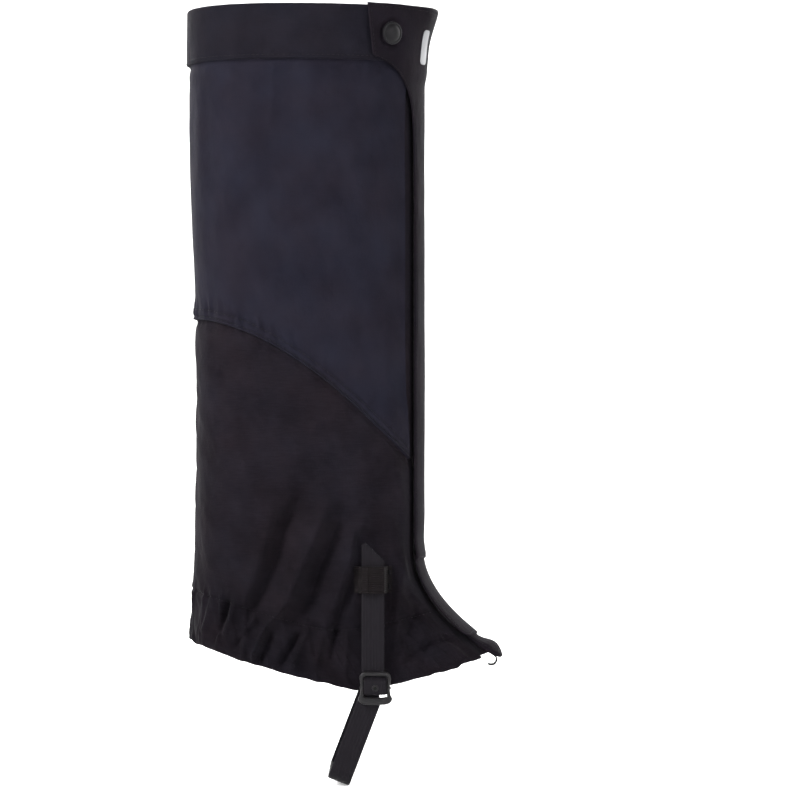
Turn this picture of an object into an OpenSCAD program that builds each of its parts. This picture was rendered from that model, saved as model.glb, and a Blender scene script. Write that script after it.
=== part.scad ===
// Knee-high mountaineering gaiter in its worn shape, one right-leg piece.
// Frame: +X towards the toe, -Y lateral (outer side of the leg), +Z up.
// Origin: on the leg axis, at the level where the instep strap carries the arch.

/* [Sleeve] */
// Height of the top rim
top_z = 508; // [480:2:530]
// Height of the ankle bend, above which the sleeve is a plain leg tube
bend_z = 150; // [140:1:160]
// Lowest height of the hem
hem_z = 60; // [54:1:66]
// Rear of the sleeve at the ankle
rear_x = -75.6; // [-80:0.2:-70]
// Front of the sleeve along the shin
shin_x = 72; // [68:0.5:76]
// Front of the sleeve at the hem, over the laces
foot_x = 124; // [116:1:130]
// Half width of the sleeve at the ankle
ankle_b = 49; // [45:0.5:52]
// Half width of the sleeve at the top rim
calf_b = 55; // [51:0.5:58]
// Thickness of the main fabric
cloth = 1.2; // [0.8:0.1:1.5]

/* [Seams and bands] */
// Height of the panel seam at the rear
seam_rear_z = 303; // [290:1:315]
// Height of the panel seam at the front
seam_front_z = 211; // [200:1:225]
// Height of the seam's stitched lap
seam_lap = 7; // [4:0.5:10]
// Height of the collar band
collar_h = 36; // [28:1:44]
// Sleeve height coordinate of the hem casing's stitch line
casing_s = 99; // [90:1:108]

/* [Front closure] */
// Angle of the lateral panel's front edge
panel_lat_a = -25; // [-28:0.5:-24]
// Angle of the medial panel's front edge
panel_med_a = 23; // [22:0.5:26]
// Angle of the flap's sewn edge
hinge_a = 20; // [18:0.5:21]
// Angle of the flap's free edge along the shin
free_a = -21; // [-23:0.5:-18]
// Angle of the snap tab's edge
tab_a = -55; // [-60:1:-50]
// Height of the snap tab's lower corner
tab_z = 475; // [465:1:485]
// Height of the snap's centre
snap_z = 490; // [484:1:494]
// Angle of the snap's centre
snap_a = -44.5; // [-48:0.5:-42]

/* [Instep strap] */
// Width of the strap
strap_w = 15; // [12:0.5:16]
// Thickness of the strap
strap_t = 1.6; // [1.2:0.1:2]
// Distance of the strap's swing axis in front of the leg axis
pivot_x = 40; // [36:0.5:44]
// Height of the strap's swing axis
pivot_z = 51.5; // [50:0.5:53]
// Rearward slant of the strap at rest
strap_slant = 21; // [10:1:25]
// Inner half width of the strap loop
loop_half_w = 47.4; // [47:0.2:48.4]

/* [Hidden] */
$fn = 64;

// Colours of the fabrics and metal parts
navy = [0.16, 0.18, 0.23];
black = [0.09, 0.09, 0.10];
collar_ink = [0.13, 0.13, 0.16];
trim_grey = [0.22, 0.22, 0.24];
metal_dark = [0.20, 0.20, 0.22];

// Sleeve surface: spans between the layers
same_body_gap = 0.15;
ply = 1;
tape_t = 0.6;
rear_swell = 4.4;
calf_swell = 4.4;
calf_from = 290;
calf_to = 470;
flare_from = 455;
flare_x = 4.5;
hem_mid_x = 36;
hem_rise = 0.3;
hem_round = 20;
corner_ankle = 0.1;
corner_calf = 0.03;
egg_calf = 0.08;
egg_foot = 0.25;

function clamp01(t) = min(1, max(0, t));
function ease(t) = let (c = clamp01(t)) c * c * (3 - 2 * c);
function mix(p, q, t) = p + (q - p) * t;
// How far a height coordinate lies past the ankle bend, 0 above it and 1 at the hem
function foot_u(s) = max(0, (bend_z - s) / (bend_z - hem_z));
function up_t(s) = clamp01((s - bend_z) / (top_z - bend_z));
function rear_at(s) = rear_x - calf_swell * clamp01((s - calf_from) / (calf_to - calf_from))
    - rear_swell * pow(foot_u(s), 2);
function front_at(s) = shin_x + flare_x * pow(clamp01((s - flare_from) / (top_z - flare_from)), 1.5)
    + (foot_x - shin_x) * pow(foot_u(s), 2);
function mid_at(s) = (rear_at(s) + front_at(s)) / 2;
function span_at(s) = (front_at(s) - rear_at(s)) / 2;
function half_w_at(s) = mix(ankle_b, calf_b, up_t(s));
function corner_at(s) = mix(corner_ankle, corner_calf, ease(up_t(s)));
function egg_at(s) = mix(egg_calf, egg_foot, ease(foot_u(s)));
function hem_height(x) = hem_z + hem_rise * (sqrt(pow(x - hem_mid_x, 2) + pow(hem_round, 2)) - hem_round);
function height_at(a, s) = s >= bend_z ? s
    : bend_z - foot_u(s) * (bend_z - hem_height(mid_at(hem_z) + span_at(hem_z) * cos(a)));
// Point of the sleeve's inner face at angle a round the leg and height coordinate s
function skin(a, s) = [
    mid_at(s) + span_at(s) * cos(a),
    half_w_at(s) * (sin(a) + corner_at(s) * sin(3 * a)) * (1 - egg_at(s) * cos(a)),
    height_at(a, s)
];
function unit(v) = v / norm(v);
step_a = 0.5;
step_s = 0.5;
function out_dir(a, s) = unit(cross(skin(a + step_a, s) - skin(a - step_a, s),
                                    skin(a, s + step_s) - skin(a, s - step_s)));
function lifted(a, s, off) = skin(a, s) + off * out_dir(a, s);

// Closed sheet over a grid of [angle, height, extra lift] rows, between two offsets
module sheet(grid, off_in, off_out) {
    rows = len(grid);
    cols = len(grid[0]);
    all_points = [for (off = [off_in, off_out], row = grid, p = row) lifted(p[0], p[1], p[2] + off)];
    layer = rows * cols;
    function at(l, r, c) = l * layer + r * cols + c;
    function quad(p, q, m, n) = [[p, q, m], [p, m, n]];
    outer = [for (r = [0:rows - 2], c = [0:cols - 2])
        each quad(at(1, r, c), at(1, r + 1, c), at(1, r + 1, c + 1), at(1, r, c + 1))];
    inner = [for (r = [0:rows - 2], c = [0:cols - 2])
        each quad(at(0, r, c), at(0, r, c + 1), at(0, r + 1, c + 1), at(0, r + 1, c))];
    low_edge = [for (c = [0:cols - 2]) each quad(at(0, 0, c), at(1, 0, c), at(1, 0, c + 1), at(0, 0, c + 1))];
    high_edge = [for (c = [0:cols - 2])
        each quad(at(0, rows - 1, c), at(0, rows - 1, c + 1), at(1, rows - 1, c + 1), at(1, rows - 1, c))];
    start_edge = [for (r = [0:rows - 2]) each quad(at(0, r, 0), at(0, r + 1, 0), at(1, r + 1, 0), at(1, r, 0))];
    end_edge = [for (r = [0:rows - 2])
        each quad(at(0, r, cols - 1), at(1, r, cols - 1), at(1, r + 1, cols - 1), at(0, r + 1, cols - 1))];
    polyhedron(all_points, concat(outer, inner, low_edge, high_edge, start_edge, end_edge), convexity = 8);
}

// Grid with straight or curved lower and upper edges, given as lists over the angles
function angles(a0, a1, n) = [for (i = [0:n]) mix(a0, a1, i / n)];
function band_grid(as, low, high, rows) =
    [for (r = [0:rows]) [for (i = [0:len(as) - 1]) [as[i], mix(low[i], high[i], r / rows), 0]]];
function level(as, s) = [for (a = as) s];

// Panel seam: height falls from the rear towards the front
seam_bend = 1.7;
function seam_share(a) = pow(clamp01((1 + cos(a)) / (1 + cos(panel_lat_a))), seam_bend);
function seam_s(a) = mix(seam_rear_z, seam_front_z, seam_share(a));
function seam_line(as, lift) = [for (a = as) seam_s(a) + lift];

wrap_cols = 60;
wrap = angles(panel_med_a, 360 + panel_lat_a, wrap_cols);
collar_low = top_z - collar_h;
collar_lap = 5;
hem_rows = 12;

module upper_panel() {
    color(navy) sheet(band_grid(wrap, seam_line(wrap, 0.1), level(wrap, collar_low + collar_lap), 8), 0, cloth);
}

module lower_panel() {
    color(black) sheet(band_grid(wrap, level(wrap, hem_z), seam_line(wrap, -0.1), hem_rows), 0, cloth);
}

// Folded lap that joins the two panels, outside
module seam_band() {
    inset = angles(binding_a + binding_span + 0.5, 360 + panel_lat_a - 0.3, wrap_cols);
    color(navy) sheet(band_grid(inset, seam_line(inset, -0.6), seam_line(inset, seam_lap), 2),
                      cloth + same_body_gap, cloth + 0.7);
}

// Waterproof tape over the seam, inside
module seam_tape() {
    tape_half = 8;
    inset = angles(panel_med_a + 4, 360 + panel_lat_a - 4, wrap_cols);
    color(trim_grey) sheet(band_grid(inset, seam_line(inset, -tape_half), seam_line(inset, tape_half), 2),
                           -0.6, -0.2);
}

module collar_band() {
    color(collar_ink) sheet(band_grid(wrap, level(wrap, collar_low), level(wrap, top_z), 3),
                            cloth + same_body_gap, cloth + ply);
}

module collar_facing() {
    color(collar_ink) sheet(band_grid(wrap, level(wrap, collar_low - 2), level(wrap, top_z - 0.5), 3),
                            -ply - same_body_gap, -same_body_gap);
}

// Angles either side of the rear that the elastic tapes cover
collar_elastic_reach = 110;
hem_elastic_reach = 118;
function rear_angles(reach, n) = angles(180 - reach, 180 + reach, n);

// Elastic tape held in the collar, round the calf
module collar_elastic() {
    tape_low = collar_low + 13;
    tape_high = top_z - 6;
    rear_wrap = rear_angles(collar_elastic_reach, 44);
    color(trim_grey) sheet(band_grid(rear_wrap, level(rear_wrap, tape_low), level(rear_wrap, tape_high), 1),
                           0.1, cloth - 0.1);
}

// Hem turned up inside, which holds the elastic
casing_out = -1.5;
module hem_casing() {
    inset = angles(panel_med_a + 1, 360 + panel_lat_a - 1, wrap_cols);
    color(black) sheet(band_grid(inset, level(inset, hem_z + 0.5), level(inset, casing_s + 3), 5),
                       casing_out - ply, casing_out);
}

module hem_elastic() {
    elastic_margin = 6;
    rear_wrap = rear_angles(hem_elastic_reach, 48);
    color(trim_grey) sheet(band_grid(rear_wrap, level(rear_wrap, hem_z + elastic_margin),
                                     level(rear_wrap, casing_s - elastic_margin), 3), -1.3, -0.4);
}

// Front closure, height rows shared by its layers: shin rows, then rows round the instep bend
closure_low = hem_z + 2;
function closure_rows(low, high, n_shin, n_foot) = concat(
    [for (i = [0:n_foot]) if (mix(low, bend_z, i / n_foot) < bend_z - 0.1) mix(low, bend_z, i / n_foot)],
    [for (i = [0:n_shin]) mix(max(low, bend_z), high, i / n_shin)]);
function strip_grid(a0, a1, cols, rows) = [for (s = rows) [for (a = angles(a0, a1, cols)) [a, s, 0]]];

// Holes for fasteners start inside the sleeve's inner face
drill_in = 5;
drill_len = 20;

// Underlap sewn to the lateral panel's front edge
placket_out = -0.4;
module front_placket() {
    rows = closure_rows(closure_low, top_z - 1, 7, 14);
    color(black) difference() {
        sheet(strip_grid(panel_lat_a + 0.4, hinge_a - 1.5, 9, rows), placket_out - ply, placket_out);
        on_sleeve(hook_a, hook_s, -drill_in) cylinder(h = drill_len, r = hook_hole_r);
    }
}

// Soft loop tape on the placket
module loop_tape() {
    rows = closure_rows(hem_z + 24, collar_low - 6, 6, 11);
    color(trim_grey) sheet(strip_grid(free_a + 4, hinge_a - 7, 7, rows),
                           placket_out + 0.5, placket_out + 0.5 + tape_t);
}

// Flap layers, outward from the placket
flap_in = 2.6;
flap_out = flap_in + ply;
hook_in = 1.3;
tab_slope = 14;
tab_reach = 33.5;
tuck = 1.5;
flap_low = 141;
function flap_free_a(s) = s >= tab_z ? tab_a - 5 * (s - tab_z) / (top_z - tab_z)
    : free_a - tab_reach * exp((s - tab_z) / tab_slope);
// The flap rides higher over the collar band and over the top of its foot part
function collar_lift(s) = 1.05 * ease((s - (collar_low - 14)) / 10);
function flap_lift(s) = tuck * ease((flap_low + 18 - s) / 14) + collar_lift(s);
shin_flap_rows = concat(
    [for (i = [0:3]) mix(flap_low, flap_low + 18, i / 3)],
    [for (i = [1:5]) mix(flap_low + 18, tab_z - 60, i / 5)],
    [for (i = [1:12]) tab_z - 60 * pow(1 - i / 12, 2)],
    [for (i = [1:4]) mix(tab_z, top_z + 1, i / 4)]);

// Sewn strip that carries the flap on the medial side
binding_a = hinge_a + 1.6;
binding_span = 8;
module flap_binding() {
    rows = concat(closure_rows(hem_z + 21, collar_low - 15, 6, 11),
                  [for (i = [0:7]) mix(collar_low - 14, top_z, i / 7)]);
    grid = [for (s = rows) [for (a = angles(binding_a, binding_a + binding_span, 3)) [a, s, collar_lift(s)]]];
    color(black) sheet(grid, cloth + 0.3, cloth + 0.3 + ply);
}

// Point and directions of a place on the sleeve, for the round fasteners
module on_sleeve(a, s, off) {
    n = out_dir(a, s);
    yaw = atan2(n[1], n[0]);
    pitch = acos(n[2]);
    translate(lifted(a, s, off)) rotate([0, pitch, yaw]) children();
}

snap_hole_r = 1.7;
module front_flap() {
    grid = [for (s = shin_flap_rows) [for (i = [0:12]) [mix(flap_free_a(s), hinge_a, i / 12), s, flap_lift(s)]]];
    color(black) difference() {
        sheet(grid, flap_in, flap_out);
        on_sleeve(snap_a, snap_z, 0) cylinder(h = drill_len, r = snap_hole_r);
    }
}

// Stiff hook tape on the flap's inner face
module hook_tape() {
    rows = [for (i = [0:7]) mix(flap_low + 22, collar_low - 24, i / 7)];
    color(trim_grey) sheet(strip_grid(free_a + 3, hinge_a - 6, 6, rows), hook_in, flap_in - 0.25);
}

// The foot leaf is tucked under the flap at its free side and cut back at its sewn side, so that both can open
foot_low = 80;
foot_tuck = 4;
foot_cut = 10;
function foot_top(a) = flap_low + foot_tuck - foot_cut * ease((a + 4) / 10);
module flap_foot() {
    as = angles(free_a, hinge_a, 10);
    color(black) sheet(band_grid(as, level(as, foot_low), [for (a = as) foot_top(a)], 12), flap_in, flap_out - 0.1);
}

module hook_tape_foot() {
    rows = [for (i = [0:11]) mix(foot_low + 4, flap_low - 9, i / 11)];
    color(trim_grey) sheet(strip_grid(free_a + 3, hinge_a - 6, 6, rows), hook_in, flap_in - 0.25);
}

// Press snap: cap and socket on the flap, stud and back plate on the collar
snap_cap_r = 7.5;
snap_lift = flap_out + 1.05;
snap_shank_r = 1.55;
module snap_cap() {
    dome_h = 1.9;
    dome_r = (snap_cap_r * snap_cap_r + dome_h * dome_h) / (2 * dome_h);
    rim_h = 0.7;
    color(metal_dark) on_sleeve(snap_a, snap_z, snap_lift + 0.1) {
        cylinder(h = rim_h, r = snap_cap_r);
        translate([0, 0, -1.1]) cylinder(h = 1.4, r = snap_shank_r);
        intersection() {
            translate([0, 0, rim_h + dome_h - dome_r]) sphere(r = dome_r);
            translate([0, 0, rim_h - 0.01]) cylinder(h = dome_h + 1, r = snap_cap_r);
        }
    }
}

socket_r = 5.8;
socket_bore_r = 4;
module snap_socket() {
    color(metal_dark) on_sleeve(snap_a, snap_z, flap_in + 0.6) rotate([180, 0, 0]) difference() {
        cylinder(h = 0.9, r = socket_r);
        translate([0, 0, 0.25]) cylinder(h = 1, r = socket_bore_r);
    }
}

stud_r = 2.3;
module snap_stud() {
    color(metal_dark) on_sleeve(snap_a, snap_z, cloth + ply + 0.1) {
        cylinder(h = 0.25, r = 3.2);
        cylinder(h = 0.5, r = stud_r);
    }
}

module snap_back_plate() {
    color(metal_dark) on_sleeve(snap_a, snap_z, -ply - 0.6) rotate([180, 0, 0]) cylinder(h = 0.8, r = 5.5);
}

// Plain reflective patch on the flap's front face
module reflective_patch() {
    patch_low = collar_low;
    patch_high = collar_low + 25;
    patch_start_a = -16;
    patch_end_a = -2;
    rows = [for (i = [0:5]) mix(patch_low, patch_high, i / 5)];
    grid = [for (s = rows) [for (a = angles(patch_start_a, patch_end_a, 4)) [a, s, flap_lift(s)]]];
    color([0.8, 0.8, 0.82]) sheet(grid, flap_out + same_body_gap, flap_out + 0.35);
}

// Instep strap assembly, lateral side
loop_mid_y = 0.6;
strap_face_y = loop_mid_y - loop_half_w;
strap_out_y = strap_face_y - strap_t;
buckle_mid_x = 44;
buckle_mid_z = 61;
buckle_w = 21;
buckle_h = 21.6;
buckle_t = 2.8;
buckle_back_y = strap_out_y - 0.4;
rail_w = 2.3;
bottom_rail_w = 3.6;
bar_r = 1;
bar_y = buckle_back_y - buckle_t / 2;
bar_fit = 0.05;
peg_r = 1.1;

// Rectangle with round corners, centred
module round_rect(w, h, r) {
    square([w, h - 2 * r], center = true);
    square([w - 2 * r, h], center = true);
    for (x = [-1, 1], y = [-1, 1]) translate([x * (w / 2 - r), y * (h / 2 - r)]) circle(r = r);
}

// Buckle parts are drawn flat, then stood up facing the lateral side
module on_buckle(y) {
    translate([buckle_mid_x, y, buckle_mid_z]) rotate([90, 0, 0]) children();
}

slot_w = buckle_w - 2 * rail_w;
slot_top = buckle_h / 2 - rail_w;
slot_bottom = -buckle_h / 2 + bottom_rail_w;
module buckle_frame() {
    color(metal_dark) difference() {
        on_buckle(buckle_back_y) linear_extrude(buckle_t) difference() {
            round_rect(buckle_w, buckle_h, 4);
            translate([-slot_w / 2, slot_bottom]) square([slot_w, slot_top - slot_bottom]);
        }
        translate([buckle_mid_x - buckle_w, bar_y, buckle_mid_z]) rotate([0, 90, 0])
            cylinder(h = 2 * buckle_w, r = bar_r + bar_fit);
    }
}

module buckle_bar() {
    color(metal_dark) translate([buckle_mid_x - buckle_w / 2 + 0.2, bar_y, buckle_mid_z]) rotate([0, 90, 0])
        cylinder(h = buckle_w - 0.4, r = bar_r);
}

peg_ring_r = bar_r + 0.9;
peg_w = 2.6;
plate_in_y = bar_y - peg_ring_r - 0.25;
plate_t = 1.3;
module buckle_peg() {
    color(metal_dark) difference() {
        union() {
            translate([buckle_mid_x - peg_w / 2, bar_y, buckle_mid_z]) rotate([0, 90, 0])
                cylinder(h = peg_w, r = peg_ring_r);
            translate([buckle_mid_x, bar_y, buckle_mid_z]) rotate([90, 0, 0])
                cylinder(h = plate_t + peg_ring_r + 0.7, r = peg_r);
        }
        translate([buckle_mid_x - peg_w, bar_y, buckle_mid_z]) rotate([0, 90, 0])
            cylinder(h = 2 * peg_w, r = bar_r + bar_fit);
    }
}

// Webbing loops round the bar on both sides of the peg, carried up between the strap and the sleeve
anchor_t = 0.8;
anchor_leg_y = -44.2;
anchor_leg_h = 12;
module anchor_loop(x0, w) {
    wrap_r = bar_r + 0.1;
    leg_in = anchor_leg_y;
    translate([x0, 0, 0]) rotate([90, 0, 90]) linear_extrude(w) {
        translate([bar_y, buckle_mid_z]) difference() {
            circle(r = wrap_r + anchor_t);
            circle(r = wrap_r);
        }
        translate([bar_y + wrap_r + 0.3, buckle_mid_z - anchor_t / 2])
            square([leg_in - bar_y - wrap_r - 0.3, anchor_t]);
        translate([leg_in - 2 * anchor_t, buckle_mid_z - anchor_t / 2])
            square([2 * anchor_t, anchor_leg_h]);
    }
}
module buckle_anchor() {
    loop_w = 5.5;
    color(black) for (side = [-1, 1]) {
        anchor_loop(buckle_mid_x + side * (peg_w / 2 + 0.3 + loop_w / 2) - loop_w / 2, loop_w);
    }
}

// Strap where it passes over the bar
module strap_in_buckle() {
    plate_low = slot_bottom + 0.5;
    plate_high = slot_top - 0.5;
    lip_out = strap_out_y - 0.5 - plate_in_y;
    color(black) difference() {
        translate([buckle_mid_x - strap_w / 2, 0, buckle_mid_z]) rotate([90, 0, 90]) linear_extrude(strap_w) {
            translate([plate_in_y - plate_t, plate_low]) square([plate_t, plate_high - plate_low]);
            for (z = [plate_low, plate_high - plate_t]) translate([plate_in_y - 0.1, z]) square([lip_out, plate_t]);
        }
        on_buckle(0) cylinder(h = -2 * strap_out_y, r = peg_r + 0.15);
    }
}

// Loose end of the strap, which slides up through the keeper
tail_x = 42.5;
tail_low_z = 72.6;
tail_tilt = 2.2;
tail_len = 83;
tip_cut = 12;
module in_tail_frame(y) {
    translate([tail_x, strap_face_y, tail_low_z]) rotate([90 - tail_tilt, 0, 0]) translate([0, 0, y]) children();
}
module strap_tail() {
    half = strap_w / 2;
    tip_x = 2.6 - half;
    color(black) in_tail_frame(0) linear_extrude(strap_t)
        polygon([[-half, 0], [half, 0], [half, tail_len - tip_cut], [tip_x, tail_len], [-half, tail_len - 1.5]]);
}

// Stitched loop that holds the strap's loose end against the sleeve
keeper_w = 25.5;
keeper_h = 18;
keeper_low = 49.5;
keeper_t = 1;
keeper_slack = 0.4;
keeper_foot_rear = 0.6;
keeper_foot_front = 3.2;
module strap_keeper() {
    inner_half = strap_w / 2 + keeper_slack;
    roof = strap_t + keeper_slack;
    color(black) in_tail_frame(0) translate([0, keeper_low, 0]) difference() {
        translate([-keeper_w / 2, 0, -keeper_foot_front])
            cube([keeper_w, keeper_h, keeper_foot_front + roof + keeper_t]);
        translate([-inner_half, -1, -keeper_foot_front - 1])
            cube([2 * inner_half, keeper_h + 2, keeper_foot_front + 1 + roof]);
        translate([-keeper_w, -1, -keeper_foot_front - 1])
            cube([keeper_w, keeper_h + 2, keeper_foot_front + 1 - keeper_foot_rear]);
    }
}

// Thread bars that hold the keeper's sides
module keeper_bar_tacks() {
    tack_w = 1;
    tack_x = keeper_w / 2 - 1.6;
    color(trim_grey) in_tail_frame(strap_t + keeper_t + keeper_slack + same_body_gap)
        for (side = [-1, 1], z = [keeper_low + 1, keeper_low + keeper_h - 5])
            translate([side * tack_x - tack_w / 2, z, 0]) cube([tack_w, 4, 0.4]);
}

// Strap loop under the arch, drawn upright from its swing axis and then slanted
loop_len = pivot_z / cos(strap_slant);
loop_corner = 9;
rivet_r = 2.2;
strap_hole_r = 2.28;
module instep_strap() {
    out_half = loop_half_w + strap_t;
    corner_xs = [loop_corner - out_half, out_half - loop_corner];
    corner_z = -loop_len / 2 + loop_corner - strap_t;
    color(black) translate([pivot_x, loop_mid_y, pivot_z]) rotate([0, strap_slant, 0]) difference() {
        union() {
            rotate([90, 0, 90]) translate([0, 0, -strap_w / 2]) linear_extrude(strap_w) difference() {
                translate([0, -loop_len / 2]) {
                    translate([-out_half, -loop_len / 2 + loop_corner])
                        square([2 * out_half, loop_len - loop_corner]);
                    translate([-out_half + loop_corner, -loop_len / 2 - strap_t])
                        square([2 * (out_half - loop_corner), loop_corner + strap_t + 1]);
                    for (x = corner_xs) translate([x, corner_z]) circle(r = loop_corner);
                }
                translate([0, -loop_len / 2]) {
                    translate([-loop_half_w, -loop_len / 2 + loop_corner])
                        square([2 * loop_half_w, loop_len]);
                    translate([-out_half + loop_corner, -loop_len / 2])
                        square([2 * (out_half - loop_corner), loop_corner + 1]);
                    for (x = corner_xs) translate([x, corner_z]) circle(r = loop_corner - strap_t);
                }
            }
            for (side = [-1, 1]) translate([0, side * (loop_half_w + strap_t / 2), 0]) rotate([90, 0, 0])
                cylinder(h = strap_t, r = strap_w / 2, center = true);
        }
        translate([0, loop_half_w - 1, 0]) rotate([-90, 0, 0]) cylinder(h = strap_t + 2, r = strap_hole_r);
    }
}

// Medial tab sewn into the hem, and the rivet that the strap swings on
tab_in_y = 45.4;
tab_t = 2;
module strap_tab_medial() {
    tab_low = pivot_z - 7;
    tab_high = hem_z + 26;
    color(black) difference() {
        translate([pivot_x - strap_w / 2, tab_in_y, tab_low]) cube([strap_w, tab_t, tab_high - tab_low]);
        translate([pivot_x, tab_in_y - 1, pivot_z]) rotate([-90, 0, 0]) cylinder(h = tab_t + 2, r = strap_hole_r);
    }
}
module strap_rivet() {
    head_t = 1;
    head_r = 4.2;
    play = 0.2;
    inner_end = tab_in_y - play;
    outer_end = loop_mid_y + loop_half_w + strap_t + play;
    color(metal_dark) translate([pivot_x, 0, pivot_z]) rotate([-90, 0, 0]) {
        translate([0, 0, inner_end - head_t]) cylinder(h = head_t, r = head_r);
        translate([0, 0, inner_end - 0.01]) cylinder(h = outer_end - inner_end + 0.02, r = rivet_r);
        translate([0, 0, outer_end]) cylinder(h = head_t, r = head_r);
    }
}

// Lace hook on its tab at the front of the hem
hook_tab_low = hem_z - 4;
hook_a = 0;
hook_s = 66;
hook_r = 3;
hook_t = 1;
hook_hole_r = 1.5;
hook_lift = -2.9;
module lace_hook_tab() {
    rows = [for (i = [0:6]) mix(hook_tab_low, hem_z + 17, i / 6)];
    color(black) difference() {
        sheet(strip_grid(-11, 11, 6, rows), 0.2, 1.3);
        on_sleeve(hook_a, hook_s, -drill_in) cylinder(h = drill_len, r = hook_hole_r);
    }
}
module lace_hook() {
    plate_len = 12;
    plate_w = 9;
    color(metal_dark) on_sleeve(hook_a, hook_s, hook_lift) difference() {
        union() {
            translate([-5, -plate_w / 2, 0]) cube([plate_len + 5 - hook_r, plate_w, hook_t]);
            translate([plate_len - hook_r, 0, -hook_r]) rotate([90, 0, 0]) difference() {
                cylinder(h = plate_w, r = hook_r + hook_t, center = true);
                cylinder(h = plate_w + 2, r = hook_r, center = true);
                translate([-hook_r - 2, -hook_r - 2, -plate_w]) cube([hook_r + 2, 2 * hook_r + 3, 2 * plate_w]);
            }
        }
        translate([0, 0, -1]) cylinder(h = 4, r = hook_hole_r);
    }
}
module lace_hook_rivet() {
    color(metal_dark) on_sleeve(hook_a, hook_s, 0) {
        translate([0, 0, 1.5]) cylinder(h = 0.8, r = 3);
        translate([0, 0, hook_lift - 0.2]) cylinder(h = 2 - hook_lift, r = hook_hole_r - 0.05);
        translate([0, 0, hook_lift - 0.9]) cylinder(h = 0.8, r = 2.8);
    }
}

upper_panel();
lower_panel();
seam_band();
seam_tape();
collar_band();
collar_facing();
collar_elastic();
hem_casing();
hem_elastic();
front_placket();
loop_tape();
flap_binding();
strap_keeper();
keeper_bar_tacks();
buckle_anchor();
buckle_frame();
buckle_bar();
buckle_peg();
strap_in_buckle();
strap_tab_medial();
strap_rivet();
lace_hook_tab();
lace_hook();
lace_hook_rivet();
snap_stud();
snap_back_plate();
front_flap();
hook_tape();
snap_cap();
snap_socket();
reflective_patch();
flap_foot();
hook_tape_foot();
strap_tail();
instep_strap();
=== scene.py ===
"""Looks of a knee-high mountaineering gaiter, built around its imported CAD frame.

+X towards the toe, -Y the outer side of the leg, +Z up. Cloth is laid out in millimetres by an angle
round the leg and a height coordinate, and turned into metres when a mesh is made.
"""
import bpy
import math
import numpy as np
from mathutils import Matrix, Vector


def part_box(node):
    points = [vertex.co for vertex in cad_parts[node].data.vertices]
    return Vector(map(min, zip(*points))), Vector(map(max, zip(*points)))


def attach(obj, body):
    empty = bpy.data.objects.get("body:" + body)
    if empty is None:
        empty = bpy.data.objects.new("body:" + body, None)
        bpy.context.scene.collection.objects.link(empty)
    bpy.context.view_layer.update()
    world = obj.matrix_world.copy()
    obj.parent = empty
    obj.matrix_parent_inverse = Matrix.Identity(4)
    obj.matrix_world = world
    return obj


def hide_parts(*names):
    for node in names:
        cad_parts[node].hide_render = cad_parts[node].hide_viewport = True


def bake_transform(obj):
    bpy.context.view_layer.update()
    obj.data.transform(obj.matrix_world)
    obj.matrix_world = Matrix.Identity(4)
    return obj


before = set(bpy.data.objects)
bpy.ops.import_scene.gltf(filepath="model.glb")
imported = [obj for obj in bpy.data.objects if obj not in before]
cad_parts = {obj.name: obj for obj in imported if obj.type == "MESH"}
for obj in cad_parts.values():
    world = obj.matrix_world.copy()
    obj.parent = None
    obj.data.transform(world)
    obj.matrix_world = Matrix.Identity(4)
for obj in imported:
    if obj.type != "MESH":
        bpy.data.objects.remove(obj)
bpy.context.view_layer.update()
MM = 0.001


def lo(node):
    """Lowest corner of a CAD node, in millimetres."""
    return np.array(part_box(node)[0]) / MM


def hi(node):
    """Highest corner of a CAD node, in millimetres."""
    return np.array(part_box(node)[1]) / MM


# ---------------------------------------------------------------- dimensions
TOP_Z = hi("collar_band")[2]
BEND_Z = 150.0
HEM_Z = 60.0
CLOTH_T = 1.2
REAR_X = -75.6
SHIN_X = 72.0
FOOT_X = 124.0
REAR_OUT = 4.4                # how far the rear line swings out at the calf, and again at the heel
ANKLE_B = 49.0
CALF_B = 55.0
COLLAR_LOW = lo("collar_band")[2]
PANEL_LAT_A = 335.0
PANEL_MED_A = 23.0
REAR_A = 180.0
HINGE_A = 20.0
FREE_A = -21.0
TAB_Z = 475.0
COLLAR_ROW = 2.4              # height of the collar's stitch row over its lower edge
SEAM_REAR_Z = 303.0
SEAM_FRONT_Z = 211.0
FLAP_IN = 2.6
FLAP_T = 1.0
SNAP_A, SNAP_Z = -44.5, 490.0
ROUND_MM = 1.4                # cloth per degree round the leg, for creases
PANEL_MM = 1.42               # cloth per degree, for the panels' weave
COLLAR_MM = 1.25
FRONT_MM = 1.35               # cloth per degree over the shin
FLOOR_Z = lo("instep_strap")[2]

# ---------------------------------------------------------------- camera, lights and floor
CAMERA_X, CAMERA_Z = 0.0602, 0.249
CAMERA_DISTANCE = 2.1
FRAME_WIDTH = 0.5352          # what the square picture spans at the leg's plane
SENSOR_MM = 36.0


def make_camera():
    data = bpy.data.cameras.new("camera")
    data.sensor_width = SENSOR_MM
    data.lens = SENSOR_MM * CAMERA_DISTANCE / FRAME_WIDTH
    cam = bpy.data.objects.new("camera", data)
    cam.location = (CAMERA_X, -CAMERA_DISTANCE, CAMERA_Z)
    cam.rotation_euler = (math.radians(90), 0, 0)
    bpy.context.scene.collection.objects.link(cam)
    bpy.context.scene.camera = cam


def area_light(name, place, size, power, aim=(0, 0, 0.28)):
    data = bpy.data.lights.new(name, "AREA")
    data.shape = "SQUARE"
    data.size = size
    data.energy = power
    light = bpy.data.objects.new(name, data)
    light.location = place
    light.rotation_euler = (Vector(aim) - Vector(place)).to_track_quat("-Z", "Y").to_euler()
    bpy.context.scene.collection.objects.link(light)


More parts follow.
